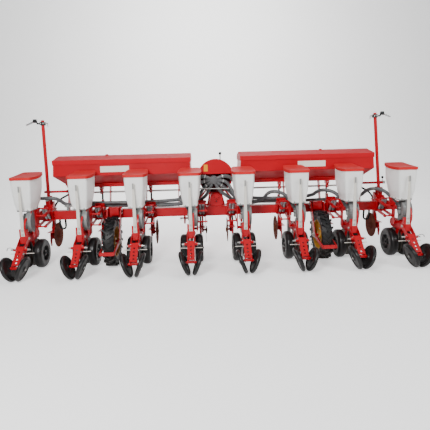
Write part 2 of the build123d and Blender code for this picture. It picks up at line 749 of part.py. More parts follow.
def coulter_discs():
    """Flat fertilizer discs in front of the toolbar."""
    disc = side_sheet(Pos(SHANK_Y + 30, COULTER_Z) * (Circle(COULTER_R) - Circle(15 + FIT)),
                      COULTER_X - 2, COULTER_X + 2)
    write("coulter_discs", each_row(disc, turned_over=True))


def tank_form(inset):
    """Form of the right tank: flared upper panels over slanting lower ones."""
    i = inset
    rise = 10 if inset else 0
    sections = (
        # height, first X, last X, rear Y, front Y
        (TANK_LOW + i, TANK_IN + 110, TANK_OUT - 100, TANK_REAR + 200, TANK_FRONT - 200),
        (TANK_BELT, TANK_IN + 100, TANK_OUT - 90, TANK_REAR + 190, TANK_FRONT - 190),
        (TANK_CREASE, TANK_IN - 10, TANK_OUT + 12, TANK_REAR - 8, TANK_FRONT + 8),
        (TANK_TOP + rise, TANK_IN, TANK_OUT, TANK_REAR, TANK_FRONT),
    )
    faces = []
    for z, x0, x1, y0, y1 in sections:
        middle = Pos((x0 + x1) / 2, (y0 + y1) / 2, z)
        faces.append(middle * Rectangle(x1 - x0 - 2 * i, y1 - y0 - 2 * i))
    form = None
    for lower, upper in zip(faces, faces[1:]):
        span = loft(Sketch() + [lower, upper], ruled=True)
        form = span if form is None else form + span
    return form


def tank_body():
    """Right tank with its bottom belt, hinge lugs and outlet boxes."""
    body = tank_form(0)
    body += block(TANK_IN + 92, TANK_OUT - 82, TANK_REAR + 182, TANK_FRONT - 182, TANK_BELT - 14, TANK_BELT)
    body -= tank_form(TANK_WALL)
    for x in TANK_HINGE_XS:
        lug = link((TANK_HINGE_Y, TANK_HINGE_Z), 11, (TANK_FRONT - 2, TANK_HINGE_Z - 14), 12, x - 6, x + 6)
        lug -= tank_form(TANK_WALL)
        body += lug - cross_rod(x - 7, x + 7, TANK_HINGE_Y, TANK_HINGE_Z, TANK_HINGE_R + RUN)
    return body


def tank_lid():
    """Pitched lid with a skirt round the tank's rim."""
    mid = (TANK_REAR + TANK_FRONT) / 2
    shapes = []
    for grow, drop in ((LID_GAP + LID_SHEET, 0), (LID_GAP, LID_SHEET)):
        y0 = TANK_REAR - grow
        y1 = TANK_FRONT + grow
        outline = [(y0, LID_LOW), (y1, LID_LOW), (y1, LID_EDGE - drop), (mid, LID_RIDGE - drop),
                   (y0, LID_EDGE - drop)]
        shapes.append(side_plate(outline, TANK_IN - grow, TANK_OUT + grow))
    lid = shapes[0] - shapes[1]
    for x in TANK_HINGE_XS:
        lid -= block(x - 14, x + 14, TANK_FRONT + 2, TANK_FRONT + 20, LID_LOW - 1, TANK_HINGE_Z + 20)
        lid += cross_rod(x - 34, x + 34, TANK_HINGE_Y, TANK_HINGE_Z, TANK_HINGE_R)
        for hand in (-1, 1):
            lid += block(x + hand * 20, x + hand * 30, TANK_FRONT + LID_GAP + 1, TANK_HINGE_Y + 5,
                         TANK_HINGE_Z - 4, TANK_HINGE_Z + 14)
    lid += block(TANK_GRIP_X - 18, TANK_GRIP_X + 18, mid - 14, mid + 14, LID_RIDGE - 4, LID_RIDGE + 12)
    return lid


def tanks():
    """Two long fertilizer tanks with hinged lids."""
    write("fertilizer_tanks", both_sides(tank_body()))
    right, left = both_sides(tank_lid())
    write("tank_lid_right", [right])
    write("tank_lid_left", [left])


def tank_stand(x):
    """Tapered sheet leg from the bar's front face to the tank's floor."""
    foot = BAR_FRONT + FIT
    leg = side_plate([(foot, BAR_LOW + 20), (foot + 40, BAR_LOW + 20), (TANK_FRONT - 210, TANK_LOW - FIT),
                      (TANK_REAR + 190, TANK_LOW - FIT), (foot, BAR_TOP + 60)], x - 4, x + 4)
    return leg + block(x - STAND_FOOT, x + STAND_FOOT, foot, foot + 8, BAR_LOW + 20, BAR_TOP - 10)


def tank_frame():
    """Right-hand stands, joined by the metering shaft and the marker's rest."""
    frame = tank_stand(STAND_XS[0])
    for x in STAND_XS[1:]:
        frame += tank_stand(x)
    shaft_y = TANK_REAR + 245
    frame += cross_rod(STAND_XS[0] - 30, STAND_XS[-1] + 30, shaft_y, 930, 11)
    rest_y = BAR_Y + MARK_R + WORK_GAP + 12
    frame += block(STAND_XS[-1] - 4, MARK_X + 70, rest_y - 10, rest_y + 14, 955, 985)
    frame += block(STAND_XS[-1] - 4, STAND_XS[-1] + 4, rest_y - 10, shaft_y, 950, 990)
    return frame


def tank_stands():
    """Stands under both tanks."""
    write("tank_stands", both_sides(tank_frame()))


def fan_housing():
    """Vacuum fan under its hood, on the gearbox stand over the toolbar."""
    back = BAR_Y + FAN_W / 2
    drum_y = back - 50
    fan = rod((0, drum_y, FAN_Z), (0, back, FAN_Z), FAN_R - 12)
    hood = rod((0, back - FAN_W, FAN_Z), (0, back, FAN_Z), FAN_R)
    hood -= block(-FAN_R, FAN_R, back - FAN_W - 1, back + 1, FAN_Z - FAN_R, HOOD_LOW)
    hood -= rod((0, back - FAN_W + 8, FAN_Z), (0, drum_y, FAN_Z), FAN_R - 10)
    fan += hood
    fan += end_plate([(-104, BAR_TOP + 6 + FIT), (104, BAR_TOP + 6 + FIT), (72, 885), (-72, 885)],
                     BAR_Y - 54, BAR_Y + 54)
    for z, r, deep in ((855, 42, 22), (785, 17, 12)):
        fan += rod((0, BAR_Y - 54 - deep, z), (0, BAR_Y - 50, z), r)
    fan += rod((0, BAR_Y + 50, PTO_Z), (0, BAR_Y + 54 + PTO_LONG, PTO_Z), PTO_R)
    fan += rod((70, BAR_Y + 20, FAN_Z + 230), (70, BAR_Y + 20, 1440), 6)
    return fan + Pos(70, BAR_Y + 20, 1444) * Sphere(15)


def manifold_y():
    """Plane of the manifold's spigots behind the fan."""
    return BAR_Y - 85


def spigot_place(side, number):
    """Centre line of a manifold spigot: its direction and its end."""
    angle = radians(SPIGOT_ANGLES[number])
    way = Vector(side * cos(angle), 0, sin(angle))
    hub = Vector(MANIFOLD_X, manifold_y(), MANIFOLD_Z)
    return way, hub + way * 118


def vacuum_manifold():
    """Hub with radial spigots on the fan's rear face."""
    y = manifold_y()
    back = BAR_Y + FAN_W / 2 - 50 - FIT
    hub = rod((MANIFOLD_X, y - 34, MANIFOLD_Z), (MANIFOLD_X, back, MANIFOLD_Z), MANIFOLD_R)
    hub += rod((MANIFOLD_X, y - 46, MANIFOLD_Z), (MANIFOLD_X, y - 34, MANIFOLD_Z), 30)
    for side in (-1, 1):
        for number in range(4):
            _, end = spigot_place(side, number)
            hub += rod((MANIFOLD_X, y, MANIFOLD_Z), end, SPIGOT_R)
    write("vacuum_manifold", [hub])


def marker_mast():
    """Foot of a marker arm on the end of the toolbar, at X zero, outwards to +X."""
    mast = block(-24, 24, BAR_REAR + 4, BAR_FRONT - 4, BAR_TOP + FIT, BAR_TOP + 14)
    for y in (BAR_Y - 54, BAR_Y + 44):
        cheek = end_plate([(-24, BAR_TOP + 10), (24, BAR_TOP + 10), (30, MARK_Z + 34),
                           (-30, MARK_Z + 34)], y, y + 10)
        mast += cheek - rod((0, y - 1, MARK_Z), (0, y + 11, MARK_Z), MARK_PIN_R + RUN)
    mast += block(-24, 24, BAR_Y - 54, BAR_Y + 54, BAR_TOP + 10, BAR_TOP + 60)
    gusset = [(-84, BAR_TOP + 16), (-20, BAR_TOP + 16), (-20, BAR_TOP + 110)]
    return mast + end_plate(gusset, BAR_Y - 54, BAR_Y - 46)


def marker_head(top_x, side):
    """Clamp, cranked arm, hub, blade and handle at the top of a folded marker."""
    z = MARK_TOP
    x = top_x
    head = block(x - 30, x + 30, BAR_Y - 30, BAR_Y + 30, z - 66, z - 24)
    elbow = (x + side * 72, BAR_Y, z - 44)
    axle = (x + side * 84, BAR_Y, z - 8)
    head += rod((x, BAR_Y, z - 44), elbow, 9) + Pos(*elbow) * Sphere(9)
    head += rod(elbow, axle, 9)
    head += rod(axle, (x + side * 122, BAR_Y, z - 8), 24)
    tine = [(x + side * 100, z + 4), (x + side * 225, z - 58), (x + side * 214, z - 66),
            (x + side * 100, z - 22)]
    handle = (x - side * 66, BAR_Y, z - 40)
    head += rod((x, BAR_Y, z - 40), handle, 6) + Pos(*handle) * Sphere(6)
    return head + end_plate(tine, BAR_Y - 16, BAR_Y + 16) + rod(handle, (handle[0], BAR_Y, z - 84), 6)


def marker_arm(side, lean):
    """Folded marker pole on its pivot, with everything that its top carries."""
    x = side * MARK_X
    arm = rod((x, BAR_Y, MARK_Z - 24), (x + lean, BAR_Y, MARK_TOP), MARK_R)
    arm += rod((x, BAR_Y - 62, MARK_Z), (x, BAR_Y + 62, MARK_Z), MARK_PIN_R)
    return arm + marker_head(x + lean, side)


def markers():
    """Folded row markers and their feet at the toolbar's ends."""
    for side, name, lean in MARKERS:
        write(f"marker_arm_{name}", [marker_arm(side, lean)])
    right, left = both_sides(Pos(MARK_X, 0, 0) * marker_mast())
    write("marker_masts", [right, left])


def spigot_start(side, number):
    """First two points of a hose, straight out of its spigot."""
    way, end = spigot_place(side, number)
    return [tuple(end + way * FIT), tuple(end + way * 60)]


def vacuum_ends(x, elbow_x):
    """Last points of a vacuum hose, into the elbow of its metering unit."""
    y = CLOSE_Y
    return [(x + elbow_x, y + 605, 772), (x + SPIGOT_X, y + 530, 712), (x + SPIGOT_X, SPIGOT_Y, 712),
            (x + SPIGOT_X, SPIGOT_Y, SPIGOT_TOP + FIT)]


def inner_hose(side, x):
    """Hose to one of the two middle rows, straight from the fan."""
    y = CLOSE_Y
    if side > 0:
        way = [(205, y + 738, 965), (245, y + 690, 872)]
    else:
        way = [(-300, y + 708, 985), (-470, y + 735, 885), (-512, y + 668, 845)]
    return spigot_start(side, 1) + way + vacuum_ends(x, -45 if side > 0 else -66)


def lane_start(side, place):
    """Way of an outer hose from the fan down to its lane on the toolbar."""
    y = CLOSE_Y
    if place == 1:
        return spigot_start(side, 2) + [(side * 218, y + 795, 890), (side * 330, y + 800, LANE_LOW)]
    if place == 2:
        return spigot_start(side, 0) + [(side * 250, y + 780, 1080), (side * 310, y + 800, 930),
                                        (side * 380, y + 800, LANE_HIGH)]
    return spigot_start(side, 3) + [(side * 145, y + 780, 860), (side * 230, y + 852, 790),
                                    (side * 330, y + 852, LANE_LOW)]


def outer_hose(side, place, x):
    """Hose along the toolbar to an outer row; place counts rows from the fan."""
    y = CLOSE_Y
    lane_y = y + (852 if place == 3 else 800)
    lane_z = LANE_HIGH if place == 2 else LANE_LOW
    if side > 0:
        way = [(x - 420, lane_y, lane_z), (x - 320, y + 778, 895), (x - 200, y + 700, 905),
               (x - 100, y + 660, 862)]
        return lane_start(side, place) + way + vacuum_ends(x, -45)
    if place == 3:
        way = [(x + 380, lane_y, lane_z), (x + 280, y + 770, 890), (x + 120, y + 735, 900),
               (x - 70, y + 735, 895), (x - 150, y + 680, 850)]
    else:
        way = [(x - 90, lane_y, lane_z), (x - 168, y + 752, 875), (x - 150, y + 668, 850)]
    return lane_start(side, place) + way + vacuum_ends(x, -66)


def fertilizer_hose(x, s):
    """Hose from the tank's outlet down to the coulter's drop tube."""
    y = CLOSE_Y
    drop_x = x + s * DROP_X
    out_x = -s * max(TANK_IN + 150, min(TANK_OUT - 160, abs(drop_x)))
    points = [(out_x, y + OUTLET_Y, TANK_LOW - FIT), (out_x, y + OUTLET_Y, 940)]
    if abs(out_x - drop_x) > 1:
        points.append((drop_x, y + OUTLET_Y, 800))
    return points + [(drop_x, y + 987, 555), (drop_x, SHANK_Y + 30, DROP_TOP + 36),
                     (drop_x, SHANK_Y + 30, DROP_TOP + FIT)]


def hoses():
    """Vacuum hoses to the eight metering units and fertilizer hoses to the coulters."""
    made = []
    for number, x, s in row_places():
        side = -s
        place = abs(2 * number - ROWS - 1) // 2
        points = outer_hose(side, place, x) if place else inner_hose(side, x)
        made.append(tube(points, HOSE_R))
        made.append(tube(fertilizer_hose(x, s), FERT_R))
    write("hoses", made)


toolbar()
parking_legs()
write("linkages", each_row(linkage(), turned_over=True))
row_springs()
row_frames()
opener_discs()
metering_units()
seed_hoppers()
hopper_lids()
closing_wheels()
closing_arms()
gauge_wheels()
drive_wheels()
wheel_forks()
depth_levers()
coulter_shanks()
coulter_discs()
tanks()
tank_stands()
write("fan_housing", [fan_housing()])
vacuum_manifold()
markers()
hoses()
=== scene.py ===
"""Looks of a pneumatic row crop planter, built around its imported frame."""

import itertools
import json
import logging
import math
from collections.abc import Iterable, Iterator
from dataclasses import dataclass, field
from enum import Enum

import bmesh
import bpy
from mathutils import Matrix, Vector

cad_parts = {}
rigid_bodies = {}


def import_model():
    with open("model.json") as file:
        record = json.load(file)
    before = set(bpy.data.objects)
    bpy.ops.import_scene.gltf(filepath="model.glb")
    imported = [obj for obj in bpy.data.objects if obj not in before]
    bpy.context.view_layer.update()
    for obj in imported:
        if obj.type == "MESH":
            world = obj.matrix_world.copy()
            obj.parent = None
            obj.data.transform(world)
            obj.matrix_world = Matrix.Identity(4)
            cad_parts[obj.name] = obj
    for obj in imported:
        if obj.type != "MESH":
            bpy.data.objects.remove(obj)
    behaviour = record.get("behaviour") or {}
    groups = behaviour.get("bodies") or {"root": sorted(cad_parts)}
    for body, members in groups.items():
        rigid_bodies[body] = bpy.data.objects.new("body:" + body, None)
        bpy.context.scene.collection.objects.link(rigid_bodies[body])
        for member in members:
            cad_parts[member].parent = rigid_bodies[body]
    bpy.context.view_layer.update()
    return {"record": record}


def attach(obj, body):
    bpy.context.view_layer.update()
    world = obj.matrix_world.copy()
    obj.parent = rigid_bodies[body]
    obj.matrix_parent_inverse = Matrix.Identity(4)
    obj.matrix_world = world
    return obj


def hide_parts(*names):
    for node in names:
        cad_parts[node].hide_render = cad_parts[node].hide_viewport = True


LOG = logging.getLogger("planter")
RING = 12
ROOT = "frame"
MIX_FACTOR, MIX_A, MIX_B = 0, 6, 7
MIX_RESULT = 2
SHARP = math.radians(35)
EDGE_PROFILE = 0.7

Point = tuple[float, float, float]
Colour = tuple[float, float, float]
Block = tuple[Point, Point, float]

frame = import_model()


class Way(Enum):
    """Direction in which a bolt head faces."""

    LEFT = (-1.0, 0.0, 0.0)
    RIGHT = (1.0, 0.0, 0.0)
    REAR = (0.0, -1.0, 0.0)
    FRONT = (0.0, 1.0, 0.0)
    UP = (0.0, 0.0, 1.0)
    DOWN = (0.0, 0.0, -1.0)


def wire(tree: bpy.types.NodeTree, kind: str, sources: dict[int | str, object] | None = None,
         **values: object) -> bpy.types.Node:
    """Place a node and feed its inputs.

    Args:
        tree: Tree that it goes into.
        kind: Type of the node.
        sources: Output socket, or plain value, for each input by its number or name.
        values: Properties of the node itself.

    Returns:
        The node.
    """
    made = tree.nodes.new(kind)
    for key, value in values.items():
        setattr(made, key, value)
    for key, source in (sources or {}).items():
        if isinstance(source, bpy.types.NodeSocket):
            tree.links.new(source, made.inputs[key])
        else:
            made.inputs[key].default_value = source
    return made


class NodeGroups:
    """Shader node groups that several finishes share, each built once."""

    @staticmethod
    def _new(name: str, inputs: dict[str, float], outputs: Iterable[str]) -> bpy.types.NodeTree:
        """Start an empty shader group.

        Args:
            name: Name of the group.
            inputs: Name and default of each number that goes in.
            outputs: Names of the numbers that come out.

        Returns:
            The group, with its input and output nodes placed.
        """
        group = bpy.data.node_groups.new(name, "ShaderNodeTree")
        for key, value in inputs.items():
            socket = group.interface.new_socket(key, in_out="INPUT", socket_type="NodeSocketFloat")
            socket.default_value = value
        for key in outputs:
            group.interface.new_socket(key, in_out="OUTPUT", socket_type="NodeSocketFloat")
        group.nodes.new("NodeGroupInput").name = "in"
        group.nodes.new("NodeGroupOutput").name = "out"
        return group

    @classmethod
    def patches(cls) -> bpy.types.NodeTree:
        """Build the mask of dust or rust patches.

        Returns:
            Group with Scale, Share and Soft inputs and a Mask output.
        """
        found = bpy.data.node_groups.get("patches")
        if found:
            return found
        group = cls._new("patches", {"Scale": 6.0, "Share": 0.5, "Soft": 0.12}, ["Mask"])
        given = group.nodes["in"].outputs
        coords = wire(group, "ShaderNodeTexCoord")
        noise = wire(group, "ShaderNodeTexNoise",
                     {"Vector": coords.outputs["Object"], "Scale": given["Scale"], "Detail": 6.0,
                      "Roughness": 0.62})
        high = wire(group, "ShaderNodeMath", {0: given["Share"], 1: given["Soft"]}, operation="ADD")
        span = wire(group, "ShaderNodeMapRange",
                    {"Value": noise.outputs["Fac"], "From Min": given["Share"],
                     "From Max": high.outputs[0]}, interpolation_type="SMOOTHSTEP")
        group.links.new(span.outputs["Result"], group.nodes["out"].inputs["Mask"])
        return group

    @classmethod
    def settled(cls) -> bpy.types.NodeTree:
        """Build the mask of soil that lies low on the machine, broken up by noise.

        Returns:
            Group with Low, High and Scale inputs and a Mask output.
        """
        found = bpy.data.node_groups.get("settled")
        if found:
            return found
        group = cls._new("settled", {"Low": 0.05, "High": 0.5, "Scale": 9.0}, ["Mask"])
        given = group.nodes["in"].outputs
        coords = wire(group, "ShaderNodeTexCoord")
        parts = wire(group, "ShaderNodeSeparateXYZ", {0: coords.outputs["Object"]})
        height = wire(group, "ShaderNodeMapRange",
                      {"Value": parts.outputs["Z"], "From Min": given["Low"], "From Max": given["High"],
                       "To Min": 1.0, "To Max": 0.0})
        noise = wire(group, "ShaderNodeTexNoise",
                     {"Vector": coords.outputs["Object"], "Scale": given["Scale"], "Detail": 5.0})
        mix = wire(group, "ShaderNodeMath", {0: height.outputs["Result"], 1: noise.outputs["Fac"]},
                   operation="MULTIPLY")
        group.links.new(mix.outputs[0], group.nodes["out"].inputs["Mask"])
        return group


BUILT: dict[str, bpy.types.Material] = {}


@dataclass(frozen=True)
class Finish:
    """Colour and gloss of one kind of surface, with its wear and dust."""

    name: str
    colour: Colour
    worn: Colour
    roughness: float = 0.45
    metallic: float = 0.0
    share: float = 0.62
    soft: float = 0.18
    scale: float = 7.0
    dust: float = 0.35
    dust_colour: Colour = (0.33, 0.27, 0.2)
    dust_top: float = 0.55
    coat: float = 0.0
    coat_roughness: float = 0.12
    shine: float = 0.5
    worn_rougher: float = 0.25
    grain: float = 0.0
    grain_scale: float = 120.0
    grain_deep: float = 0.002

    def material(self) -> bpy.types.Material:
        """Build the material, or return the one that was built before."""
        if self.name not in BUILT:
            BUILT[self.name] = self._build()
        return BUILT[self.name]

    def _build(self) -> bpy.types.Material:
        """Wire the patches and the settled dust into a Principled BSDF."""
        material = bpy.data.materials.get(self.name) or bpy.data.materials.new(self.name)
        material.use_nodes = True
        tree = material.node_tree
        shader = tree.nodes["Principled BSDF"]
        plain = {"Metallic": self.metallic, "Coat Weight": self.coat, "Specular IOR Level": self.shine,
                 "Coat Roughness": self.coat_roughness}
        for key, value in plain.items():
            shader.inputs[key].default_value = value
        spread = {"Scale": self.scale, "Share": self.share, "Soft": self.soft}
        wear = wire(tree, "ShaderNodeGroup", spread, node_tree=NodeGroups.patches()).outputs["Mask"]
        soil = wire(tree, "ShaderNodeGroup", {"High": self.dust_top}, node_tree=NodeGroups.settled())
        amount = wire(tree, "ShaderNodeMath", {0: soil.outputs["Mask"], 1: self.dust},
                      operation="MULTIPLY")
        clean = self._mix(tree, wear, (*self.colour, 1.0), (*self.worn, 1.0))
        dusty = self._mix(tree, amount.outputs[0], clean, (*self.dust_colour, 1.0))
        rough = wire(tree, "ShaderNodeMapRange", {"Value": wear, "To Min": self.roughness,
                                                  "To Max": min(1.0, self.roughness + self.worn_rougher)})
        tree.links.new(dusty, shader.inputs["Base Color"])
        tree.links.new(rough.outputs["Result"], shader.inputs["Roughness"])
        if self.grain:
            self._add_grain(tree, shader)
        return material

    @staticmethod
    def _mix(tree: bpy.types.NodeTree, factor: bpy.types.NodeSocket, first: object,
             second: object) -> bpy.types.NodeSocket:
        """Mix two colours.

        Args:
            tree: Node tree of the material.
            factor: Socket that says how much of the second colour shows.
            first: Colour or socket where the factor is 0.
            second: Colour or socket where the factor is 1.

        Returns:
            Socket that carries the mixed colour.
        """
        ports = {MIX_FACTOR: factor, MIX_A: first, MIX_B: second}
        return wire(tree, "ShaderNodeMix", ports, data_type="RGBA").outputs[MIX_RESULT]

    def _add_grain(self, tree: bpy.types.NodeTree, shader: bpy.types.Node) -> None:
        """Put a fine bump on the surface.

        Args:
            tree: Node tree of the material.
            shader: Its Principled BSDF.
        """
        coords = wire(tree, "ShaderNodeTexCoord")
        noise = wire(tree, "ShaderNodeTexNoise",
                     {"Vector": coords.outputs["Object"], "Scale": self.grain_scale})
        bump = wire(tree, "ShaderNodeBump",
                    {"Height": noise.outputs["Fac"], "Strength": self.grain, "Distance": self.grain_deep})
        tree.links.new(bump.outputs["Normal"], shader.inputs["Normal"])


RED = Finish("red_paint", (0.47, 0.002, 0.010), (0.29, 0.003, 0.010), roughness=0.32, coat=0.05,
             shine=0.28, dust=0.03)
LID_RED = Finish("lid_paint", (0.50, 0.006, 0.016), (0.52, 0.015, 0.03), roughness=0.44, shine=0.12,
                 dust=0.0)
LID_PLASTIC = Finish("red_plastic", (0.56, 0.010, 0.012), (0.50, 0.016, 0.014), roughness=0.5,
                     shine=0.3, dust=0.0)
WHITE = Finish("white_plastic", (0.90, 0.90, 0.88), (0.80, 0.79, 0.75), roughness=0.42, dust=0.0,
               scale=3.0)
RUBBER = Finish("black_rubber", (0.006, 0.006, 0.007), (0.014, 0.013, 0.013), roughness=0.34,
                shine=0.35, dust=0.04, grain=0.12)
TYRE = Finish("drive_tyre", (0.008, 0.008, 0.009), (0.022, 0.020, 0.018), roughness=0.5, shine=0.35,
              dust=0.1, grain=0.3)
OCHRE = Finish("ochre_paint", (0.42, 0.19, 0.01), (0.22, 0.11, 0.02), roughness=0.5, shine=0.3,
               dust=0.15)
ZINC = Finish("zinc_steel", (0.52, 0.52, 0.50), (0.32, 0.30, 0.26), roughness=0.36, metallic=0.8,
              dust=0.15)
STEEL = Finish("grey_steel", (0.36, 0.365, 0.37), (0.20, 0.18, 0.16), roughness=0.36, metallic=0.6,
               dust=0.1)
CASTING = Finish("grey_casting", (0.27, 0.275, 0.27), (0.16, 0.155, 0.145), roughness=0.5,
                 metallic=0.2, shine=0.3, dust=0.1, grain=0.2)
DISC_STEEL = Finish("disc_steel", (0.12, 0.11, 0.10), (0.07, 0.04, 0.03), roughness=0.45, metallic=0.7)
RUST = Finish("rusty_steel", (0.10, 0.022, 0.014), (0.14, 0.045, 0.022), roughness=0.85, shine=0.08,
              share=0.5, dust=0.06)
HOSE = Finish("grey_hose", (0.095, 0.098, 0.102), (0.21, 0.205, 0.19), roughness=0.36, dust=0.05,
              share=0.5)
BLACK = Finish("black_plastic", (0.008, 0.008, 0.009), (0.020, 0.020, 0.020), roughness=0.4,
               shine=0.35, dust=0.03)
YELLOW = Finish("yellow_sheet", (0.80, 0.33, 0.005), (0.62, 0.27, 0.01), roughness=0.5, shine=0.3,
                dust=0.0)
# Near-black red: painted shade, a flat disc that stands in for the shaded depth of the fan's intake.
SHADOW = Finish("dark_recess", (0.030, 0.001, 0.002), (0.045, 0.003, 0.004), roughness=0.9, shine=0.1,
                dust=0.0)
# Red paint at a quarter of its brightness: painted shade on the vanes and rings inside the fan's intake
# and on the screws under its hood.
SHADED_RED = Finish("dark_red_sheet", (0.12, 0.001, 0.003), (0.08, 0.003, 0.004), roughness=0.5,
                  shine=0.2, dust=0.03)
GREY_PLASTIC = Finish("grey_plastic", (0.11, 0.112, 0.115), (0.18, 0.178, 0.17), roughness=0.4,
                      dust=0.05, grain=0.15)
IVORY = Finish("ivory_lever", (0.70, 0.67, 0.60), (0.55, 0.51, 0.44), roughness=0.45, dust=0.03)
BOARD = Finish("bare_board", (0.86, 0.80, 0.70), (0.76, 0.68, 0.58), roughness=0.5, dust=0.0)
FINISHES = {finish.name: finish for finish in (
    RED, LID_RED, LID_PLASTIC, WHITE, RUBBER, TYRE, OCHRE, ZINC, STEEL, CASTING, DISC_STEEL, RUST,
    HOSE, BLACK, YELLOW, SHADOW, SHADED_RED, GREY_PLASTIC, IVORY, BOARD)}
OWN_LOOKS = {"vacuum_manifold": GREY_PLASTIC, "depth_levers": IVORY}


def dress_nodes() -> int:
    """Give every CAD node the finish of its material slot.

    Returns:
        How many nodes were dressed.
    """
    slots = {part["node"]: part["material_slot"] for part in frame["record"]["subparts"]}
    count = 0
    for node, name in slots.items():
        piece = bpy.data.objects.get(node)
        if piece is None:
            continue
        piece.data.materials.clear()
        piece.data.materials.append(OWN_LOOKS.get(node, FINISHES[name]).material())
        count += 1
    return count


def add_piece(name: str, mesh: bpy.types.Mesh, finish: Finish, body: str) -> bpy.types.Object:
    """Make a piece of a mesh, dress it and let it ride on its body.

    Args:
        name: Name of the piece.
        mesh: Its mesh.
        finish: Its finish.
        body: CAD body that it rides on.

    Returns:
        The piece.
    """
    mesh.name = name
    mesh.materials.clear()
    mesh.materials.append(finish.material())
    piece = bpy.data.objects.new(name, mesh)
    bpy.context.scene.collection.objects.link(piece)
    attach(piece, body)
    LOG.info("piece %s on %s, %d faces", piece.name, body, len(piece.data.polygons))
    return piece


def bake(carrier: bpy.types.Object) -> bpy.types.Mesh:
    """Return what an object shows as a plain mesh, and remove the object with its modifiers."""
    mesh = bpy.data.meshes.new_from_object(carrier.evaluated_get(bpy.context.evaluated_depsgraph_get()))
    carrier.modifiers.clear()
    bpy.data.objects.remove(carrier)
    return mesh


class Mesh:
    """Mesh that grows from simple forms, all in the planter's frame."""

    def __init__(self) -> None:
        """Start with nothing."""
        self.bm = bmesh.new()

    def block(self, low: Point, high: Point, edge: float = 0.0) -> "Mesh":
        """Add a rectangular block.

        Args:
            low: Lowest corner.
            high: Highest corner.
            edge: How much of each edge is rounded off.

        Returns:
            This mesh.
        """
        size = Vector(high) - Vector(low)
        centre = (Vector(high) + Vector(low)) / 2
        turn = Matrix.Translation(centre) @ Matrix.Diagonal((*size, 1.0))
        made = bmesh.ops.create_cube(self.bm, size=1.0, matrix=turn)
        if edge:
            edges = {line for vert in made["verts"] for line in vert.link_edges}
            bmesh.ops.bevel(self.bm, geom=list(edges), offset=edge, segments=2, affect="EDGES",
                            profile=EDGE_PROFILE)
        return self

    def rod(self, start: Point, end: Point, radius: float, top: float | None = None,
            sides: int = RING) -> "Mesh":
        """Add a round bar or a cone between two points.

        Args:
            start: One end of its axis.
            end: Other end of its axis.
            radius: Radius at the start.
            top: Radius at the end, the same if left out.
            sides: Sides of its section.

        Returns:
            This mesh.
        """
        axis = Vector(end) - Vector(start)
        middle = Matrix.Translation((Vector(start) + Vector(end)) / 2)
        turn = middle @ axis.to_track_quat("Z", "Y").to_matrix().to_4x4()
        bmesh.ops.create_cone(self.bm, cap_ends=True, segments=sides, radius1=radius,
                              radius2=radius if top is None else top, depth=axis.length, matrix=turn)
        return self

    def ball(self, centre: Point, radius: float) -> "Mesh":
        """Add a ball.

        Args:
            centre: Its middle.
            radius: Its radius.

        Returns:
            This mesh.
        """
        bmesh.ops.create_uvsphere(self.bm, u_segments=RING, v_segments=8, radius=radius,
                                  matrix=Matrix.Translation(Vector(centre)))
        return self

    def hull(self, points: Iterable[Point]) -> "Mesh":
        """Add the convex form that wraps its points.

        Args:
            points: Corners of the form.

        Returns:
            This mesh.
        """
        verts = [self.bm.verts.new(point) for point in points]
        made = bmesh.ops.convex_hull(self.bm, input=verts)
        spare = [item for item in made["geom_interior"] if isinstance(item, bmesh.types.BMVert)]
        bmesh.ops.delete(self.bm, geom=spare, context="VERTS")
        return self

    def slab(self, outline: Iterable[tuple[float, float]], axis: int, low: float, high: float) -> "Mesh":
        """Add a convex plate.

        Args:
            outline: Its corners in the other two axes, in their order.
            axis: Number of the axis that it is thin along.
            low: Where it starts on that axis.
            high: Where it ends.

        Returns:
            This mesh.
        """
        corners = []
        for place in (low, high):
            for first, second in outline:
                corner = [first, second]
                corner.insert(axis, place)
                corners.append(tuple(corner))
        return self.hull(corners)

    def finish(self, name: str, finish: Finish, body: str, smooth: bool = False) -> bpy.types.Object:
        """Make the object, dress it and put it on its body.

        Args:
            name: Name of the piece.
            finish: Its finish.
            body: CAD body that it rides on.
            smooth: Whether its round faces are shaded smooth.

        Returns:
            The object.
        """
        mesh = bpy.data.meshes.new(name)
        bmesh.ops.recalc_face_normals(self.bm, faces=self.bm.faces)
        self.bm.to_mesh(mesh)
        self.bm.free()
        if smooth:
            mesh.shade_smooth()
            mesh.set_sharp_from_angle(angle=SHARP)
        return add_piece(name, mesh, finish, body)


@dataclass
class Seats:
    """Places, directions and sizes of small parts that one tree repeats."""

    places: list[Point] = field(default_factory=list)
    ways: list[Point] = field(default_factory=list)
    sizes: list[float] = field(default_factory=list)

    def add(self, place: Point, way: Point, size: float) -> None:
        """Note one more seat.

        Args:
            place: Middle of its foot.
            way: Direction in which it stands.
            size: Its radius.
        """
        self.places.append(place)
        self.ways.append(way)
        self.sizes.append(size)

    def mesh(self) -> bpy.types.Mesh:
        """Return the seats as loose points with their directions and sizes."""
        mesh = bpy.data.meshes.new("seats")
        mesh.from_pydata(self.places, [], [])
        mesh.attributes.new("way", "FLOAT_VECTOR", "POINT")
        mesh.attributes.new("size", "FLOAT", "POINT")
        mesh.attributes["way"].data.foreach_set("vector", [part for way in self.ways for part in way])
        mesh.attributes["size"].data.foreach_set("value", self.sizes)
        return mesh


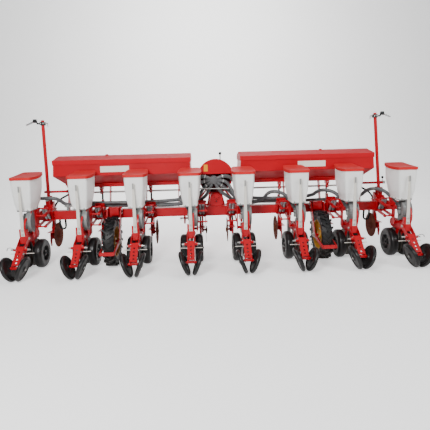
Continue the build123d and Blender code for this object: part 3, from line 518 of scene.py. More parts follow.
class GeoTree:
    """Geometry Nodes tree with named inputs that ends in plain geometry with one material."""

    def __init__(self, name: str, inputs: dict[str, float | int]) -> None:
        """Start a tree.

        Args:
            name: Name of the tree.
            inputs: Name and default of each size that goes in.
        """
        self.group = bpy.data.node_groups.new(name, "GeometryNodeTree")
        self.ids: dict[str, str] = {}
        sockets = self.group.interface
        sockets.new_socket("Geometry", in_out="INPUT", socket_type="NodeSocketGeometry")
        for key, value in inputs.items():
            kind = "NodeSocketInt" if isinstance(value, int) else "NodeSocketFloat"
            socket = sockets.new_socket(key, in_out="INPUT", socket_type=kind)
            socket.default_value = value
            self.ids[key] = socket.identifier
        socket = sockets.new_socket("Material", in_out="INPUT", socket_type="NodeSocketMaterial")
        self.ids["Material"] = socket.identifier
        sockets.new_socket("Geometry", in_out="OUTPUT", socket_type="NodeSocketGeometry")
        self.start = self.group.nodes.new("NodeGroupInput")
        self.end = self.group.nodes.new("NodeGroupOutput")

    def node(self, kind: str, sources: dict[int, object] | None = None,
             **values: object) -> bpy.types.Node:
        """Place a node of this tree, as wire does, and return it."""
        return wire(self.group, kind, sources, **values)

    def maths(self, operation: str, first: object, second: object = 0.0) -> bpy.types.NodeSocket:
        """Place one sum and return its result.

        Args:
            operation: Name of the sum.
            first: Its first number or socket.
            second: Its second number or socket.

        Returns:
            Socket that carries the result.
        """
        return self.node("ShaderNodeMath", {0: first, 1: second}, operation=operation).outputs[0]

    def port(self, key: str) -> bpy.types.NodeSocket:
        """Return the socket that carries a named input."""
        return self.start.outputs[key]

    def set_out(self, shape: bpy.types.NodeSocket) -> bpy.types.NodeSocket:
        """Put a shape on each seat, turned along its way and scaled to its size.

        Args:
            shape: Shape of unit radius that stands along Z.

        Returns:
            Socket that carries the instances.
        """
        way = self.node("GeometryNodeInputNamedAttribute", {0: "way"}, data_type="FLOAT_VECTOR")
        size = self.node("GeometryNodeInputNamedAttribute", {0: "size"}, data_type="FLOAT")
        turn = self.node("FunctionNodeAlignRotationToVector", {2: way.outputs[0]}, axis="Z")
        spread = self.node("GeometryNodeInstanceOnPoints",
                           {0: self.start.outputs[0], 2: shape, 5: turn.outputs[0], 6: size.outputs[0]})
        return spread.outputs[0]

    def close(self, shape: bpy.types.NodeSocket) -> None:
        """End the tree in Realize Instances and Set Material.

        Args:
            shape: Geometry that the tree has made.
        """
        real = self.node("GeometryNodeRealizeInstances", {0: shape})
        dressed = self.node("GeometryNodeSetMaterial", {0: real.outputs[0], 2: self.port("Material")})
        self.group.links.new(dressed.outputs[0], self.end.inputs[0])

    def run(self, name: str, base: bpy.types.Curve | Seats, finish: Finish, body: str,
            values: dict[str, float] | None = None, smooth: bool = False) -> bpy.types.Object:
        """Turn the tree's result into a plain mesh that rides on one body.

        Args:
            name: Name of the piece.
            base: Seats or curve that the tree works on.
            finish: Finish of the piece.
            body: Body that it rides on.
            values: Value of each named input that differs from its default.
            smooth: Whether its faces are shaded smooth.

        Returns:
            The piece.
        """
        given = base.mesh() if isinstance(base, Seats) else base
        carrier = bpy.data.objects.new(name + "_base", given)
        bpy.context.scene.collection.objects.link(carrier)
        modifier = carrier.modifiers.new("repeat", "NODES")
        modifier.node_group = self.group
        modifier[self.ids["Material"]] = finish.material()
        for key, value in (values or {}).items():
            modifier[self.ids[key]] = value
        mesh = bake(carrier)
        if smooth:
            mesh.shade_smooth()
        return add_piece(name, mesh, finish, body)


class Fasteners(GeoTree):
    """Hexagon heads on washers, one on every seat."""

    def __init__(self) -> None:
        """Build the tree."""
        super().__init__("fasteners", {"Head": 0.62, "Washer": 1.35, "Thick": 0.16, "Stud": 0.5,
                                       "Tip": 0.3})
        washer = self._drum(12, self.port("Washer"), self.port("Thick"), 0.0)
        head = self._drum(6, 1.0, self.port("Head"), self.port("Thick"))
        top = self.maths("ADD", self.port("Head"), self.port("Thick"))
        stud = self._drum(8, self.port("Stud"), self.port("Tip"), top)
        join = self.node("GeometryNodeJoinGeometry")
        for part in (washer, head, stud):
            self.group.links.new(part, join.inputs[0])
        self.close(self.set_out(join.outputs[0]))

    def _drum(self, sides: int, radius: object, depth: object, foot: object) -> bpy.types.NodeSocket:
        """Place a short prism that stands on its foot.

        Args:
            sides: Number of its sides.
            radius: Its radius.
            depth: Its height.
            foot: Height at which it starts.

        Returns:
            Socket that carries the prism.
        """
        drum = self.node("GeometryNodeMeshCylinder", {0: sides, 3: radius, 4: depth})
        rise = self.maths("ADD", self.maths("MULTIPLY", depth, 0.5), foot)
        lift = self.node("ShaderNodeCombineXYZ", {2: rise})
        return self.node("GeometryNodeTransform", {0: drum.outputs[0], 1: lift.outputs[0]}).outputs[0]


class Coils(GeoTree):
    """Helical springs between two hooks."""

    def __init__(self) -> None:
        """Build the tree: one helix, set on each seat."""
        super().__init__("coils", {"Turns": 18.0, "Radius": 0.015, "Length": 0.18, "Wire": 0.003})
        helix = self.node("GeometryNodeCurveSpiral", {0: 14, 1: self.port("Turns"), 2: self.port("Radius"),
                                                      3: self.port("Radius"), 4: self.port("Length")})
        ring = self.node("GeometryNodeCurvePrimitiveCircle", {0: 6, 4: self.port("Wire")})
        coil = self.node("GeometryNodeCurveToMesh", {0: helix.outputs[0], 1: ring.outputs[0], 3: True})
        self.close(self.set_out(coil.outputs[0]))


class RibbedHose(GeoTree):
    """Tubes whose ribs follow the curves that they are given."""

    def __init__(self) -> None:
        """Build the tree: evenly spaced rings whose radius rises and falls."""
        super().__init__("ribbed_hose", {"Radius": 0.024, "Rib": 0.05, "Pitch": 0.016, "Sides": 14})
        step = self.maths("MULTIPLY", self.port("Pitch"), 0.25)
        line = self.node("GeometryNodeResampleCurve", {0: self.start.outputs[0], 3: step}, mode="LENGTH")
        index = self.node("GeometryNodeInputIndex").outputs[0]
        wave = self.maths("SINE", self.maths("MULTIPLY", index, math.pi / 2))
        swell = self.maths("ADD", self.maths("MULTIPLY", wave, self.port("Rib")), 1.0)
        ring = self.node("GeometryNodeCurvePrimitiveCircle",
                         {0: self.port("Sides"), 4: self.port("Radius")})
        tube = self.node("GeometryNodeCurveToMesh",
                         {0: line.outputs[0], 1: ring.outputs[0], 2: swell, 3: True})
        self.close(tube.outputs[0])


class Blades(GeoTree):
    """Flat blades that stand round an axis, such as fan vanes and shaft splines."""

    def __init__(self) -> None:
        """Build the tree: one bar, set on each seat."""
        super().__init__("blades", {"Width": 0.1, "Deep": 1.0, "Long": 1.0})
        size = self.node("ShaderNodeCombineXYZ",
                         {0: self.port("Deep"), 1: self.port("Width"), 2: self.port("Long")})
        bar = self.node("GeometryNodeMeshCube", {0: size.outputs[0]})
        self.close(self.set_out(bar.outputs[0]))


def spline(name: str, routes: Iterable[Iterable[Point]]) -> bpy.types.Curve:
    """Lay smooth NURBS splines along routes.

    Args:
        name: Name of the curve.
        routes: Points of each route.

    Returns:
        The curve, without thickness.
    """
    curve = bpy.data.curves.new(name, "CURVE")
    curve.dimensions = "3D"
    curve.resolution_u = 8
    for route in routes:
        points = list(route)
        line = curve.splines.new("NURBS")
        line.points.add(len(points) - 1)
        for knot, point in zip(line.points, points):
            knot.co = (*point, 1.0)
        line.order_u = 3
        line.use_endpoint_u = True
    return curve


def bent_bar(name: str, routes: Iterable[Iterable[Point]], radius: float, finish: Finish, body: str,
             closed: bool = False) -> bpy.types.Object:
    """Bend round bars along smooth routes.

    Args:
        name: Name of the piece.
        routes: Points of each bar.
        radius: Radius of the bars.
        finish: Their finish.
        body: Body that they ride on.
        closed: Whether each bar closes on itself.

    Returns:
        The piece.
    """
    curve = spline(name, routes)
    curve.bevel_depth = radius
    curve.bevel_resolution = 2
    curve.use_fill_caps = True
    for line in curve.splines:
        line.use_endpoint_u = not closed
        line.use_cyclic_u = closed
    carrier = bpy.data.objects.new(name + "_line", curve)
    bpy.context.scene.collection.objects.link(carrier)
    mesh = bake(carrier)
    mesh.shade_smooth()
    return add_piece(name, mesh, finish, body)


def circle(centre: Point, radius: float, count: int, axis: int, start: float = 0.0) -> list[Point]:
    """Place points evenly round an axis.

    Args:
        centre: Middle of the circle.
        radius: Its radius.
        count: How many points it gets.
        axis: Number of the axis that it turns about.
        start: Angle of the first point in degrees.

    Returns:
        The points.
    """
    points = []
    for index in range(count):
        turn = math.radians(start + 360.0 * index / count)
        spot = [radius * math.cos(turn), radius * math.sin(turn)]
        spot.insert(axis, 0.0)
        points.append(tuple(a + b for a, b in zip(centre, spot)))
    return points


def across(point: Point, side: int) -> Point:
    """Return a point or direction, turned over to the other side if side is negative."""
    return (point[0] * side, point[1], point[2])


def moved(point: Point, x: float) -> Point:
    """Return a point, moved across the machine."""
    return (point[0] + x, point[1], point[2])


@dataclass(frozen=True)
class Ring:
    """Small parts that stand evenly round an axis."""

    radius: float
    count: int
    size: float
    start: float = 0.0
    axis: int = 0

    def seat(self, seats: Seats, centre: Point, way: Point | None = None) -> None:
        """Note a seat for each part.

        Args:
            seats: Seats that they are added to.
            centre: Middle of the ring.
            way: Direction in which they stand, outwards from the axis if left out.
        """
        for spot in circle(centre, self.radius, self.count, self.axis, self.start):
            seats.add(spot, way or tuple(Vector(spot) - Vector(centre)), self.size)


@dataclass(frozen=True)
class Layout:
    """Main places of the planter, in metres, as its solids have them."""

    rows: int = 8
    spacing: float = 0.7
    close_y: float = -0.566
    bar_y: float = 0.264
    bar_rear: float = 0.204
    bar_front: float = 0.324
    bar_top: float = 0.71
    bar_low: float = 0.59
    meter: Point = (0.046, -0.116, 0.645)

    def places(self) -> Iterator[tuple[int, float, int]]:
        """Return each row's number, its place across and the side that its linkage is on."""
        for number in range(1, self.rows + 1):
            x = (number - (self.rows + 1) / 2) * self.spacing
            yield number, x, (1 if x < 0 else -1)


LAY = Layout()


@dataclass
class RowUnits:
    """Eight row units: screws, covers, springs, grips, webs, rod ends and catches."""

    fasteners: Fasteners
    painted: tuple[tuple[tuple[float, ...], float, tuple[float, ...], Way, float], ...] = (
        # places across, along, heights, way, radius; on the linkage's side of each row
        ((0.205,), 0.160, (0.690,), Way.RIGHT, 0.010),
        ((0.205,), 0.180, (0.784,), Way.RIGHT, 0.010),
        ((0.205,), 0.186, (0.650,), Way.RIGHT, 0.010),
        ((0.211,), 0.179, (0.600, 0.745), Way.RIGHT, 0.014),
        ((0.205,), -0.086, (0.560, 0.705), Way.RIGHT, 0.014),
        ((0.187,), 0.024, (0.784,), Way.RIGHT, 0.014),
        ((0.112, 0.180), 0.1937, (0.716, 0.584), Way.REAR, 0.011),
        ((0.176, 0.124), 0.394, (0.724, 0.576), Way.FRONT, 0.008),
    )
    plated: tuple[tuple[float, float, float, Way, float], ...] = (
        # across, along, height, way, radius; on both sides, or once on the middle
        (0.052, -0.266, 0.450, Way.RIGHT, 0.013),
        (0.052, -0.386, 0.352, Way.RIGHT, 0.011),
        (0.045, -0.440, 0.297, Way.RIGHT, 0.009),
        (0.045, -0.515, 0.218, Way.RIGHT, 0.009),
        (0.0, -0.3123, 0.508, Way.REAR, 0.010),
        (0.0, -0.3123, 0.560, Way.REAR, 0.010),
        (0.060, -0.248, 0.808, Way.REAR, 0.007),
        (0.0945, -0.156, 0.808, Way.RIGHT, 0.007),
        (0.0945, -0.060, 0.808, Way.RIGHT, 0.007),
    )
    spring_across: tuple[float, float] = (0.124, 0.165)
    spring_foot: tuple[float, float] = (0.179, 0.600)
    spring_top: tuple[float, float] = (0.024, 0.784)
    spring_ends: tuple[float, float] = (0.032, 0.028)
    hook_gap: float = 0.011
    hook_wire: float = 0.004
    plug: tuple[float, float] = (0.004, 0.008)
    plug_r: float = 0.0145
    cover_x: float = 0.018
    cover_ring: Ring = Ring(0.124, 12, 0.006, 15.0)
    axis_screw: tuple[float, float] = (0.006, 0.016)
    cover_steps: tuple[tuple[float, float, float, float], ...] = (
        # radius, start across, end across, how far behind the axis it begins
        (0.136, 0.0824, 0.0878, 0.018),
        (0.106, 0.0878, 0.0905, 0.018),
    )
    drum_steps: tuple[tuple[float, float, float, float], ...] = (
        # radius, start across, end across, how far behind the axis it begins
        (0.126, -0.026, 0.0185, 0.046),
        (0.1475, 0.0735, 0.0832, 0.030),
    )
    drum_ribs: tuple[float, ...] = (-0.075, -0.045, -0.015, 0.015, 0.045, 0.075)
    rib_x: tuple[float, float] = (-0.029, 0.017)
    rib_r: float = 0.131
    rib_in: float = 0.05
    rib_half: float = 0.003
    grip: Block = ((-0.008, -0.3233, 1.043), (0.008, -0.3173, 1.115), 0.002)
    web: Block = ((-0.0358, -0.318, 0.392), (0.0358, -0.310, 0.486), 0.002)
    press_rod: tuple[float, float] = (-0.398, 0.340)
    rod_ends: tuple[Point, ...] = (
        # start across, end across, radius
        (0.0845, 0.1165, 0.0105), (0.0845, 0.0885, 0.016))
    catch: tuple[Point, ...] = (
        (-0.050, -0.420, 0.345), (-0.085, -0.425, 0.372), (-0.130, -0.430, 0.378),
        (-0.150, -0.435, 0.360), (-0.146, -0.437, 0.340))
    catch_r: float = 0.0045

    def screws(self) -> None:
        """Set the plated screws of the row frames and the painted ones of the linkages."""
        plated = Seats()
        painted = Seats()
        for _, x, side in LAY.places():
            for dx, y, z, way, radius in self.plated:
                for hand in ((1, -1) if dx else (1,)):
                    plated.add((x + hand * dx, y, z), across(way.value, hand), radius)
            for offsets, y, heights, way, radius in self.painted:
                for z, dx in itertools.product(heights, offsets):
                    painted.add((x + side * dx, y, z), across(way.value, side), radius)
        self.fasteners.run("row_screws", plated, ZINC, ROOT)
        self.fasteners.run("linkage_screws", painted, RED, ROOT)

    def cover_screws(self) -> None:
        """Set the small screws round each metering housing, and the one on its axis."""
        seats = Seats()
        _, y, z = LAY.meter
        out, radius = self.axis_screw
        for _, x, _ in LAY.places():
            self.cover_ring.seat(seats, (x + self.cover_x, y, z), Way.LEFT.value)
            seats.add((x + out, y, z), Way.LEFT.value, radius)
        self.fasteners.run("meter_screws", seats, STEEL, ROOT)

    def rear_part(self, mesh: Mesh, step: tuple[float, float, float, float], count: int, x: float) -> None:
        """Add the rear part of a round cover on the metering unit's axis.

        Args:
            mesh: Mesh that it goes into.
            step: Its radius, where it starts and ends across, and how far behind the axis it begins.
            count: How many corners its whole circle has.
            x: Place of the row.
        """
        _, y, z = LAY.meter
        radius, low, high, front = step
        spots = circle((0.0, y, z), radius, count, 0, 180.0 / count)
        rim = [spot[1:] for spot in spots if spot[1] < y - front]
        mesh.slab(rim, 0, x + low, x + high)

    def housings(self) -> None:
        """Put the dark cover and the ribbed cast half drum on each metering unit."""
        covers = Mesh()
        cast = Mesh()
        _, y, z = LAY.meter
        left, right = self.rib_x
        for _, x, _ in LAY.places():
            for step in self.cover_steps:
                self.rear_part(covers, step, 40, x)
            for step in self.drum_steps:
                self.rear_part(cast, step, 48, x)
            for height in self.drum_ribs:
                deep = math.sqrt(self.rib_r ** 2 - height ** 2)
                cast.block((x + left, y - deep, z + height - self.rib_half),
                           (x + right, y - self.rib_in, z + height + self.rib_half))
        covers.finish("vacuum_covers", GREY_PLASTIC, ROOT)
        cast.finish("meter_castings", CASTING, ROOT)

    def springs(self, coils: Coils) -> None:
        """Wind the pair of springs in each linkage, with their hooks.

        Args:
            coils: Tree that winds them.
        """
        seats = Seats()
        hooks = Mesh()
        out, into = self.plug
        for _, x, side in LAY.places():
            for dx in self.spring_across:
                low = Vector((x + side * dx, *self.spring_foot))
                high = Vector((x + side * dx, *self.spring_top))
                way = (high - low).normalized()
                foot = low + way * self.spring_ends[0]
                top = high - way * self.spring_ends[1]
                seats.add(tuple(foot), tuple(way), 1.0)
                hooks.rod(low + way * self.hook_gap, foot, self.hook_wire)
                hooks.rod(high - way * self.hook_gap, top, self.hook_wire)
                hooks.rod(foot - way * out, foot + way * into, self.plug_r)
                hooks.rod(top - way * into, top + way * out, self.plug_r)
        length = (top - foot).length
        piece = coils.run("spring_coils", seats, STEEL, ROOT, {"Length": length}, smooth=True)
        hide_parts("row_springs")
        hooks.finish("spring_hooks", STEEL, ROOT, smooth=True)

    @staticmethod
    def on_rows(name: str, block: Block, finish: Finish, smooth: bool = False) -> None:
        """Put one small block on each row.

        Args:
            name: Name of the piece.
            block: Its lowest and highest corner on a row, and how much its edges are rounded.
            finish: Its finish.
            smooth: Whether its round faces are shaded smooth.
        """
        mesh = Mesh()
        low, high, edge = block
        for _, x, _ in LAY.places():
            mesh.block(moved(low, x), moved(high, x), edge)
        mesh.finish(name, finish, ROOT, smooth)

    def sleeves(self) -> None:
        """Put the galvanised ends and their collars on each press rod."""
        ends = Mesh()
        for _, x, _ in LAY.places():
            for hand, (start, end, radius) in itertools.product((-1, 1), self.rod_ends):
                ends.rod((x + hand * start, *self.press_rod), (x + hand * end, *self.press_rod), radius)
        ends.finish("press_rod_ends", ZINC, ROOT, smooth=True)

    def catches(self) -> None:
        """Bend the small catch that stands beside the closing arm of each outer row."""
        edge = (LAY.rows - 1) / 2 * LAY.spacing
        routes = [[across(moved(point, -edge), side) for point in self.catch] for side in (1, -1)]
        bent_bar("outer_catches", routes, self.catch_r, STEEL, ROOT)

    def build(self) -> None:
        """Build all the pieces of the rows."""
        self.screws()
        self.cover_screws()
        self.housings()
        self.springs(Coils())
        self.on_rows("lever_grips", self.grip, CASTING, smooth=True)
        self.on_rows("yoke_webs", self.web, RED)
        self.sleeves()
        self.catches()


@dataclass
class Wheels:
    """Screws and nuts of everything that rolls."""

    fasteners: Fasteners
    camber: float = 21.0
    close_x: float = 0.082
    close_z: float = 0.146299
    cap_out: float = 0.032
    cap_screw: float = 0.011
    gauge_y: float = -0.021
    gauge_z: float = 0.19
    gauge_web: float = 0.119
    gauge_ring: Ring = Ring(0.068, 5, 0.009, 18.0)
    gauge_hub: float = 0.145
    hub_screw: float = 0.016
    drive: Point = (1.4, -0.051, 0.325)
    rim_ring: Ring = Ring(0.084, 6, 0.011)
    rim_faces: tuple[tuple[float, Way], ...] = ((-0.0046, Way.LEFT), (0.0048, Way.RIGHT))
    fork_out: float = 0.094
    fork_nuts: tuple[Point, ...] = (
        # along, height, radius; the axle's comes first
        (-0.051, 0.325, 0.027), (0.146, 0.722, 0.010), (0.146, 0.668, 0.010), (0.186, 0.700, 0.010),
        (0.047, 0.50, 0.010))

    def closing(self) -> None:
        """Set the screw on the cap of each closing wheel."""
        lean = math.radians(self.camber)
        for number, x, _ in LAY.places():
            for side, name in ((-1, "left"), (1, "right")):
                way = (side * math.cos(lean), 0.0, -math.sin(lean))
                seats = Seats()
                spot = (x + side * self.close_x + way[0] * self.cap_out, LAY.close_y,
                        self.close_z + way[2] * self.cap_out)
                seats.add(spot, way, self.cap_screw)
                body = f"closing_wheel_{name}_{number}"
                self.fasteners.run(f"cap_screw_{name}_{number}", seats, ZINC, body)

    def gauge(self) -> None:
        """Set the screws of each pair of gauge wheels."""
        for number, x, _ in LAY.places():
            seats = Seats()
            for side, way in ((-1, Way.LEFT), (1, Way.RIGHT)):
                centre = (x + side * self.gauge_web, self.gauge_y, self.gauge_z)
                self.gauge_ring.seat(seats, centre, way.value)
                hub = (x + side * self.gauge_hub, self.gauge_y, self.gauge_z)
                seats.add(hub, way.value, self.hub_screw)
            self.fasteners.run(f"gauge_screws_{number}", seats, BLACK, f"gauge_wheels_{number}")

    def driven(self) -> None:
        """Set the rim screws and the axle nuts of the drive wheels."""
        nuts = Seats()
        for side, name in ((-1, "left"), (1, "right")):
            x, *axle = across(self.drive, side)
            seats = Seats()
            for out, way in self.rim_faces:
                self.rim_ring.seat(seats, (x + out, *axle), way.value)
                for y, z, radius in self.fork_nuts:
                    nuts.add((x + way.value[0] * self.fork_out, y, z), way.value, radius)
            self.fasteners.run(f"rim_screws_{name}", seats, ZINC, f"drive_wheel_{name}")
        self.fasteners.run("fork_nuts", nuts, ZINC, ROOT)

    def build(self) -> None:
        """Build the screws and nuts of all the wheels."""
        self.closing()
        self.gauge()
        self.driven()


@dataclass
class Coulters:
    """Hubs and screws of the fertilizer coulters."""

    fasteners: Fasteners
    disc: Point = (0.198, 0.3543, 0.35)
    hub_steps: tuple[tuple[float, float, float, float], ...] = (
        # start and end outwards from the disc, radius at both
        (0.0, 0.010, 0.056, 0.052), (0.010, 0.020, 0.030, 0.022))
    flange: float = 0.010
    hub_ring: Ring = Ring(0.042, 5, 0.007, 10.0)

    def build(self) -> None:
        """Build the hubs and their screws."""
        hubs = Mesh()
        seats = Seats()
        for _, x, side in LAY.places():
            face, *axle = moved(across(self.disc, side), x)
            for start, end, wide, narrow in self.hub_steps:
                hubs.rod((face + side * start, *axle), (face + side * end, *axle), wide, narrow)
            way = across(Way.RIGHT.value, side)
            self.hub_ring.seat(seats, (face + side * self.flange, *axle), way)
        hubs.finish("coulter_hubs", RUST, ROOT, smooth=True)
        self.fasteners.run("coulter_screws", seats, RUST, ROOT)


@dataclass
class Tanks:
    """Bare boards, feed boxes, shaft and screws of the fertilizer tanks."""

    fasteners: Fasteners
    boards: tuple[tuple[float, float], tuple[float, float]] = ((-1.570, -1.181), (1.140, 1.525))
    board_low: float = 1.232
    board_high: float = 1.312
    panel_low: tuple[float, float] = (0.186, 1.19)
    panel_high: tuple[float, float] = (0.194, 1.385)
    outlets: tuple[float, ...] = (0.5, 0.931, 1.631, 2.04)
    stands: tuple[float, ...] = (0.53, 0.987, 1.5, 2.08)
    shaft: tuple[float, float] = (0.439, 0.93)
    shaft_x: tuple[float, float] = (0.499, 2.111)
    shaft_r: float = 0.0132
    board_thick: float = 0.003
    box_parts: tuple[Block, ...] = (
        # lowest and highest corner under an outlet, rounding
        ((-0.023, 0.403, 0.966), (0.023, 0.497, 1.0095), 0.003),
        ((-0.020, 0.415, 0.906), (0.020, 0.463, 0.968), 0.006),
    )
    box_screws: tuple[Point, ...] = ((0.403, 0.99, 0.007), (0.415, 0.93, 0.006))
    stand_screws: tuple[Point, ...] = ((-0.018, 0.332, 0.640), (0.018, 0.332, 0.640))
    stand_screw: float = 0.010

    def _panel_y(self, z: float) -> float:
        """Return where the rear panel's face is at a height."""
        (y0, z0), (y1, z1) = self.panel_low, self.panel_high
        return y0 + (y1 - y0) * (z - z0) / (z1 - z0)

    def name_boards(self) -> None:
        """Put one bare board on the rear of each tank."""
        boards = Mesh()
        for x0, x1 in self.boards:
            corners = []
            for z in (self.board_low, self.board_high):
                face = self._panel_y(z)
                corners += itertools.product((x0, x1), (face - self.board_thick, face), (z,))
            boards.hull(corners)
        boards.finish("name_boards", BOARD, ROOT)

    def feed_boxes(self) -> None:
        """Hang a feed box under each outlet, on the metering shaft."""
        boxes = Mesh()
        seats = Seats()
        for side in (-1, 1):
            for out in self.outlets:
                x = side * out
                for low, high, edge in self.box_parts:
                    boxes.block(moved(low, x), moved(high, x), edge)
                for y, z, radius in self.box_screws:
                    seats.add((x, y, z), Way.REAR.value, radius)
            for out, spot in itertools.product(self.stands, self.stand_screws):
                seats.add(moved(spot, side * out), Way.FRONT.value, self.stand_screw)
        boxes.finish("feed_boxes", RED, ROOT, smooth=True)
        self.fasteners.run("tank_screws", seats, ZINC, ROOT)

    def shafts(self) -> None:
        """Turn the metering shafts out of hexagon bar."""
        shafts = Mesh()
        for side in (-1, 1):
            ends = [(side * out, *self.shaft) for out in self.shaft_x]
            shafts.rod(*ends, self.shaft_r, sides=6)
        shafts.finish("feed_shafts", ZINC, ROOT)

    def build(self) -> None:
        """Build all the pieces of the tanks."""
        self.name_boards()
        self.feed_boxes()
        self.shafts()


@dataclass
class Fan:
    """Painted shade in the intake, vanes, label, knob, gearbox, drive shaft and hose rail of the vacuum
    fan.
    """

    fasteners: Fasteners
    centre_z: float = 1.12
    face_y: float = 0.269
    intake_r: float = 0.214
    vanes: Ring = Ring(0.142, 28, 1.0, 3.0, 1)
    vane_size: Point = (0.004, 0.010, 0.13)
    edge_rings: tuple[float, float] = (0.076, 0.216)
    label: Block = ((-0.162, 0.207, 1.203), (-0.108, 0.209, 1.296), 0.0)
    knob: Point = (0.07, 0.284, 1.444)
    knob_r: float = 0.0205
    knob_rod: Point = (-0.104, -0.012, 0.0078)
    gear_cover: Point = (0.0, 0.188, 0.855)
    gear_ring: Ring = Ring(0.033, 6, 0.0045, 30.0, 1)
    gear_screws: tuple[tuple[float, float], ...] = (
        (-0.084, 0.735), (0.084, 0.735), (-0.062, 0.872), (0.062, 0.872))
    house_ring: Ring = Ring(0.222, 12, 0.008, 15.0, 1)
    shaft_z: float = 0.80
    shaft_y: tuple[float, float] = (0.3185, 0.3985)
    shaft_r: float = 0.0179
    splines: Ring = Ring(0.0185, 6, 1.0, 0.0, 1)
    spline_y: float = 0.362
    spline_size: Point = (0.008, 0.072, 0.004)
    rail_y: float = 0.134
    rail_ends: tuple[tuple[float, float], ...] = ((-0.214, 0.974), (0.176, 0.964))
    rail_arms: tuple[float, float] = (-0.135, 0.075)

    def blades(self, name: str, ring: Ring, centre: Point, size: Point, finish: Finish) -> None:
        """Stand flat blades round an axis.

        Args:
            name: Name of the piece.
            ring: Their ring.
            centre: Its middle.
            size: Depth, width and length of one blade.
            finish: Their finish.
        """
        seats = Seats()
        ring.seat(seats, centre)
        values = dict(zip(("Deep", "Width", "Long"), size))
        Blades().run(name, seats, finish, ROOT, values)

    def recess(self) -> None:
        """Cover the fan's intake with a near-black disc of painted shade, and set its vanes and edge rings
        in a shaded copy of the red paint.
        """
        face, back, front = [(0.0, self.face_y - out, self.centre_z) for out in (0.0, 0.002, 0.004)]
        # Painted shade: a thin near-black disc over the intake, where its depth falls dark.
        Mesh().rod(face, back, self.intake_r, sides=48).finish("fan_intake_shade", SHADOW, ROOT)
        # Vanes and edge rings take the shaded copy of the red paint: painted shade.
        self.blades("fan_vanes", self.vanes, front, self.vane_size, SHADED_RED)
        rings = [circle(front, radius, 24, 1) for radius in self.edge_rings]
        bent_bar("fan_rings", rings, 0.005, SHADED_RED, ROOT, closed=True)

    def lever(self) -> None:
        """Put the plain yellow label on the hood, and sheathe the upright rod and its ball."""
        Mesh().block(*self.label).finish("plain_plate", YELLOW, ROOT)
        x, y, z = self.knob
        low, high, radius = self.knob_rod
        rod = Mesh().rod((x, y, z + low), (x, y, z + high), radius)
        rod.finish("knob_rod", STEEL, ROOT, smooth=True)
        Mesh().ball(self.knob, self.knob_r).finish("knob_ball", BLACK, ROOT, smooth=True)

    def gearbox(self) -> None:
        """Set the gearbox's cover screws and its plug."""
        seats = Seats()
        self.gear_ring.seat(seats, self.gear_cover, Way.REAR.value)
        for x, z in self.gear_screws:
            seats.add((x, 0.21, z), Way.REAR.value, 0.007)
        self.house_ring.seat(seats, (0.0, 0.319, self.centre_z), Way.FRONT.value)
        # The screws take the shaded copy of the red paint: painted shade under the fan's hood.
        self.fasteners.run("fan_screws", seats, SHADED_RED, ROOT)
        Mesh().rod((0.0, 0.2, 0.785), (0.0, 0.1965, 0.785), 0.011).finish("gearbox_plug", BLACK, ROOT)

    def drive_shaft(self) -> None:
        """Sheathe the splined drive shaft at the front."""
        ends = [(0.0, y, self.shaft_z) for y in self.shaft_y]
        Mesh().rod(*ends, self.shaft_r).finish("drive_shaft", STEEL, ROOT, smooth=True)
        self.blades("shaft_splines", self.splines, (0.0, self.spline_y, self.shaft_z),
                    self.spline_size, STEEL)

    def hose_rail(self) -> None:
        """Put the rail under the manifold that the hoses lie against."""
        ends = [(x, self.rail_y, z) for x, z in self.rail_ends]
        rail = Mesh().rod(*ends, 0.0075)
        for x in self.rail_arms:
            rail.rod((x, self.rail_y, 0.970), (x, self.face_y, 0.970), 0.006)
        for end in ends:
            rail.ball(end, 0.0105)
        rail.finish("hose_rail", ZINC, ROOT, smooth=True)

    def build(self) -> None:
        """Build all the pieces of the fan."""
        self.recess()
        self.lever()
        self.gearbox()
        self.drive_shaft()
        self.hose_rail()


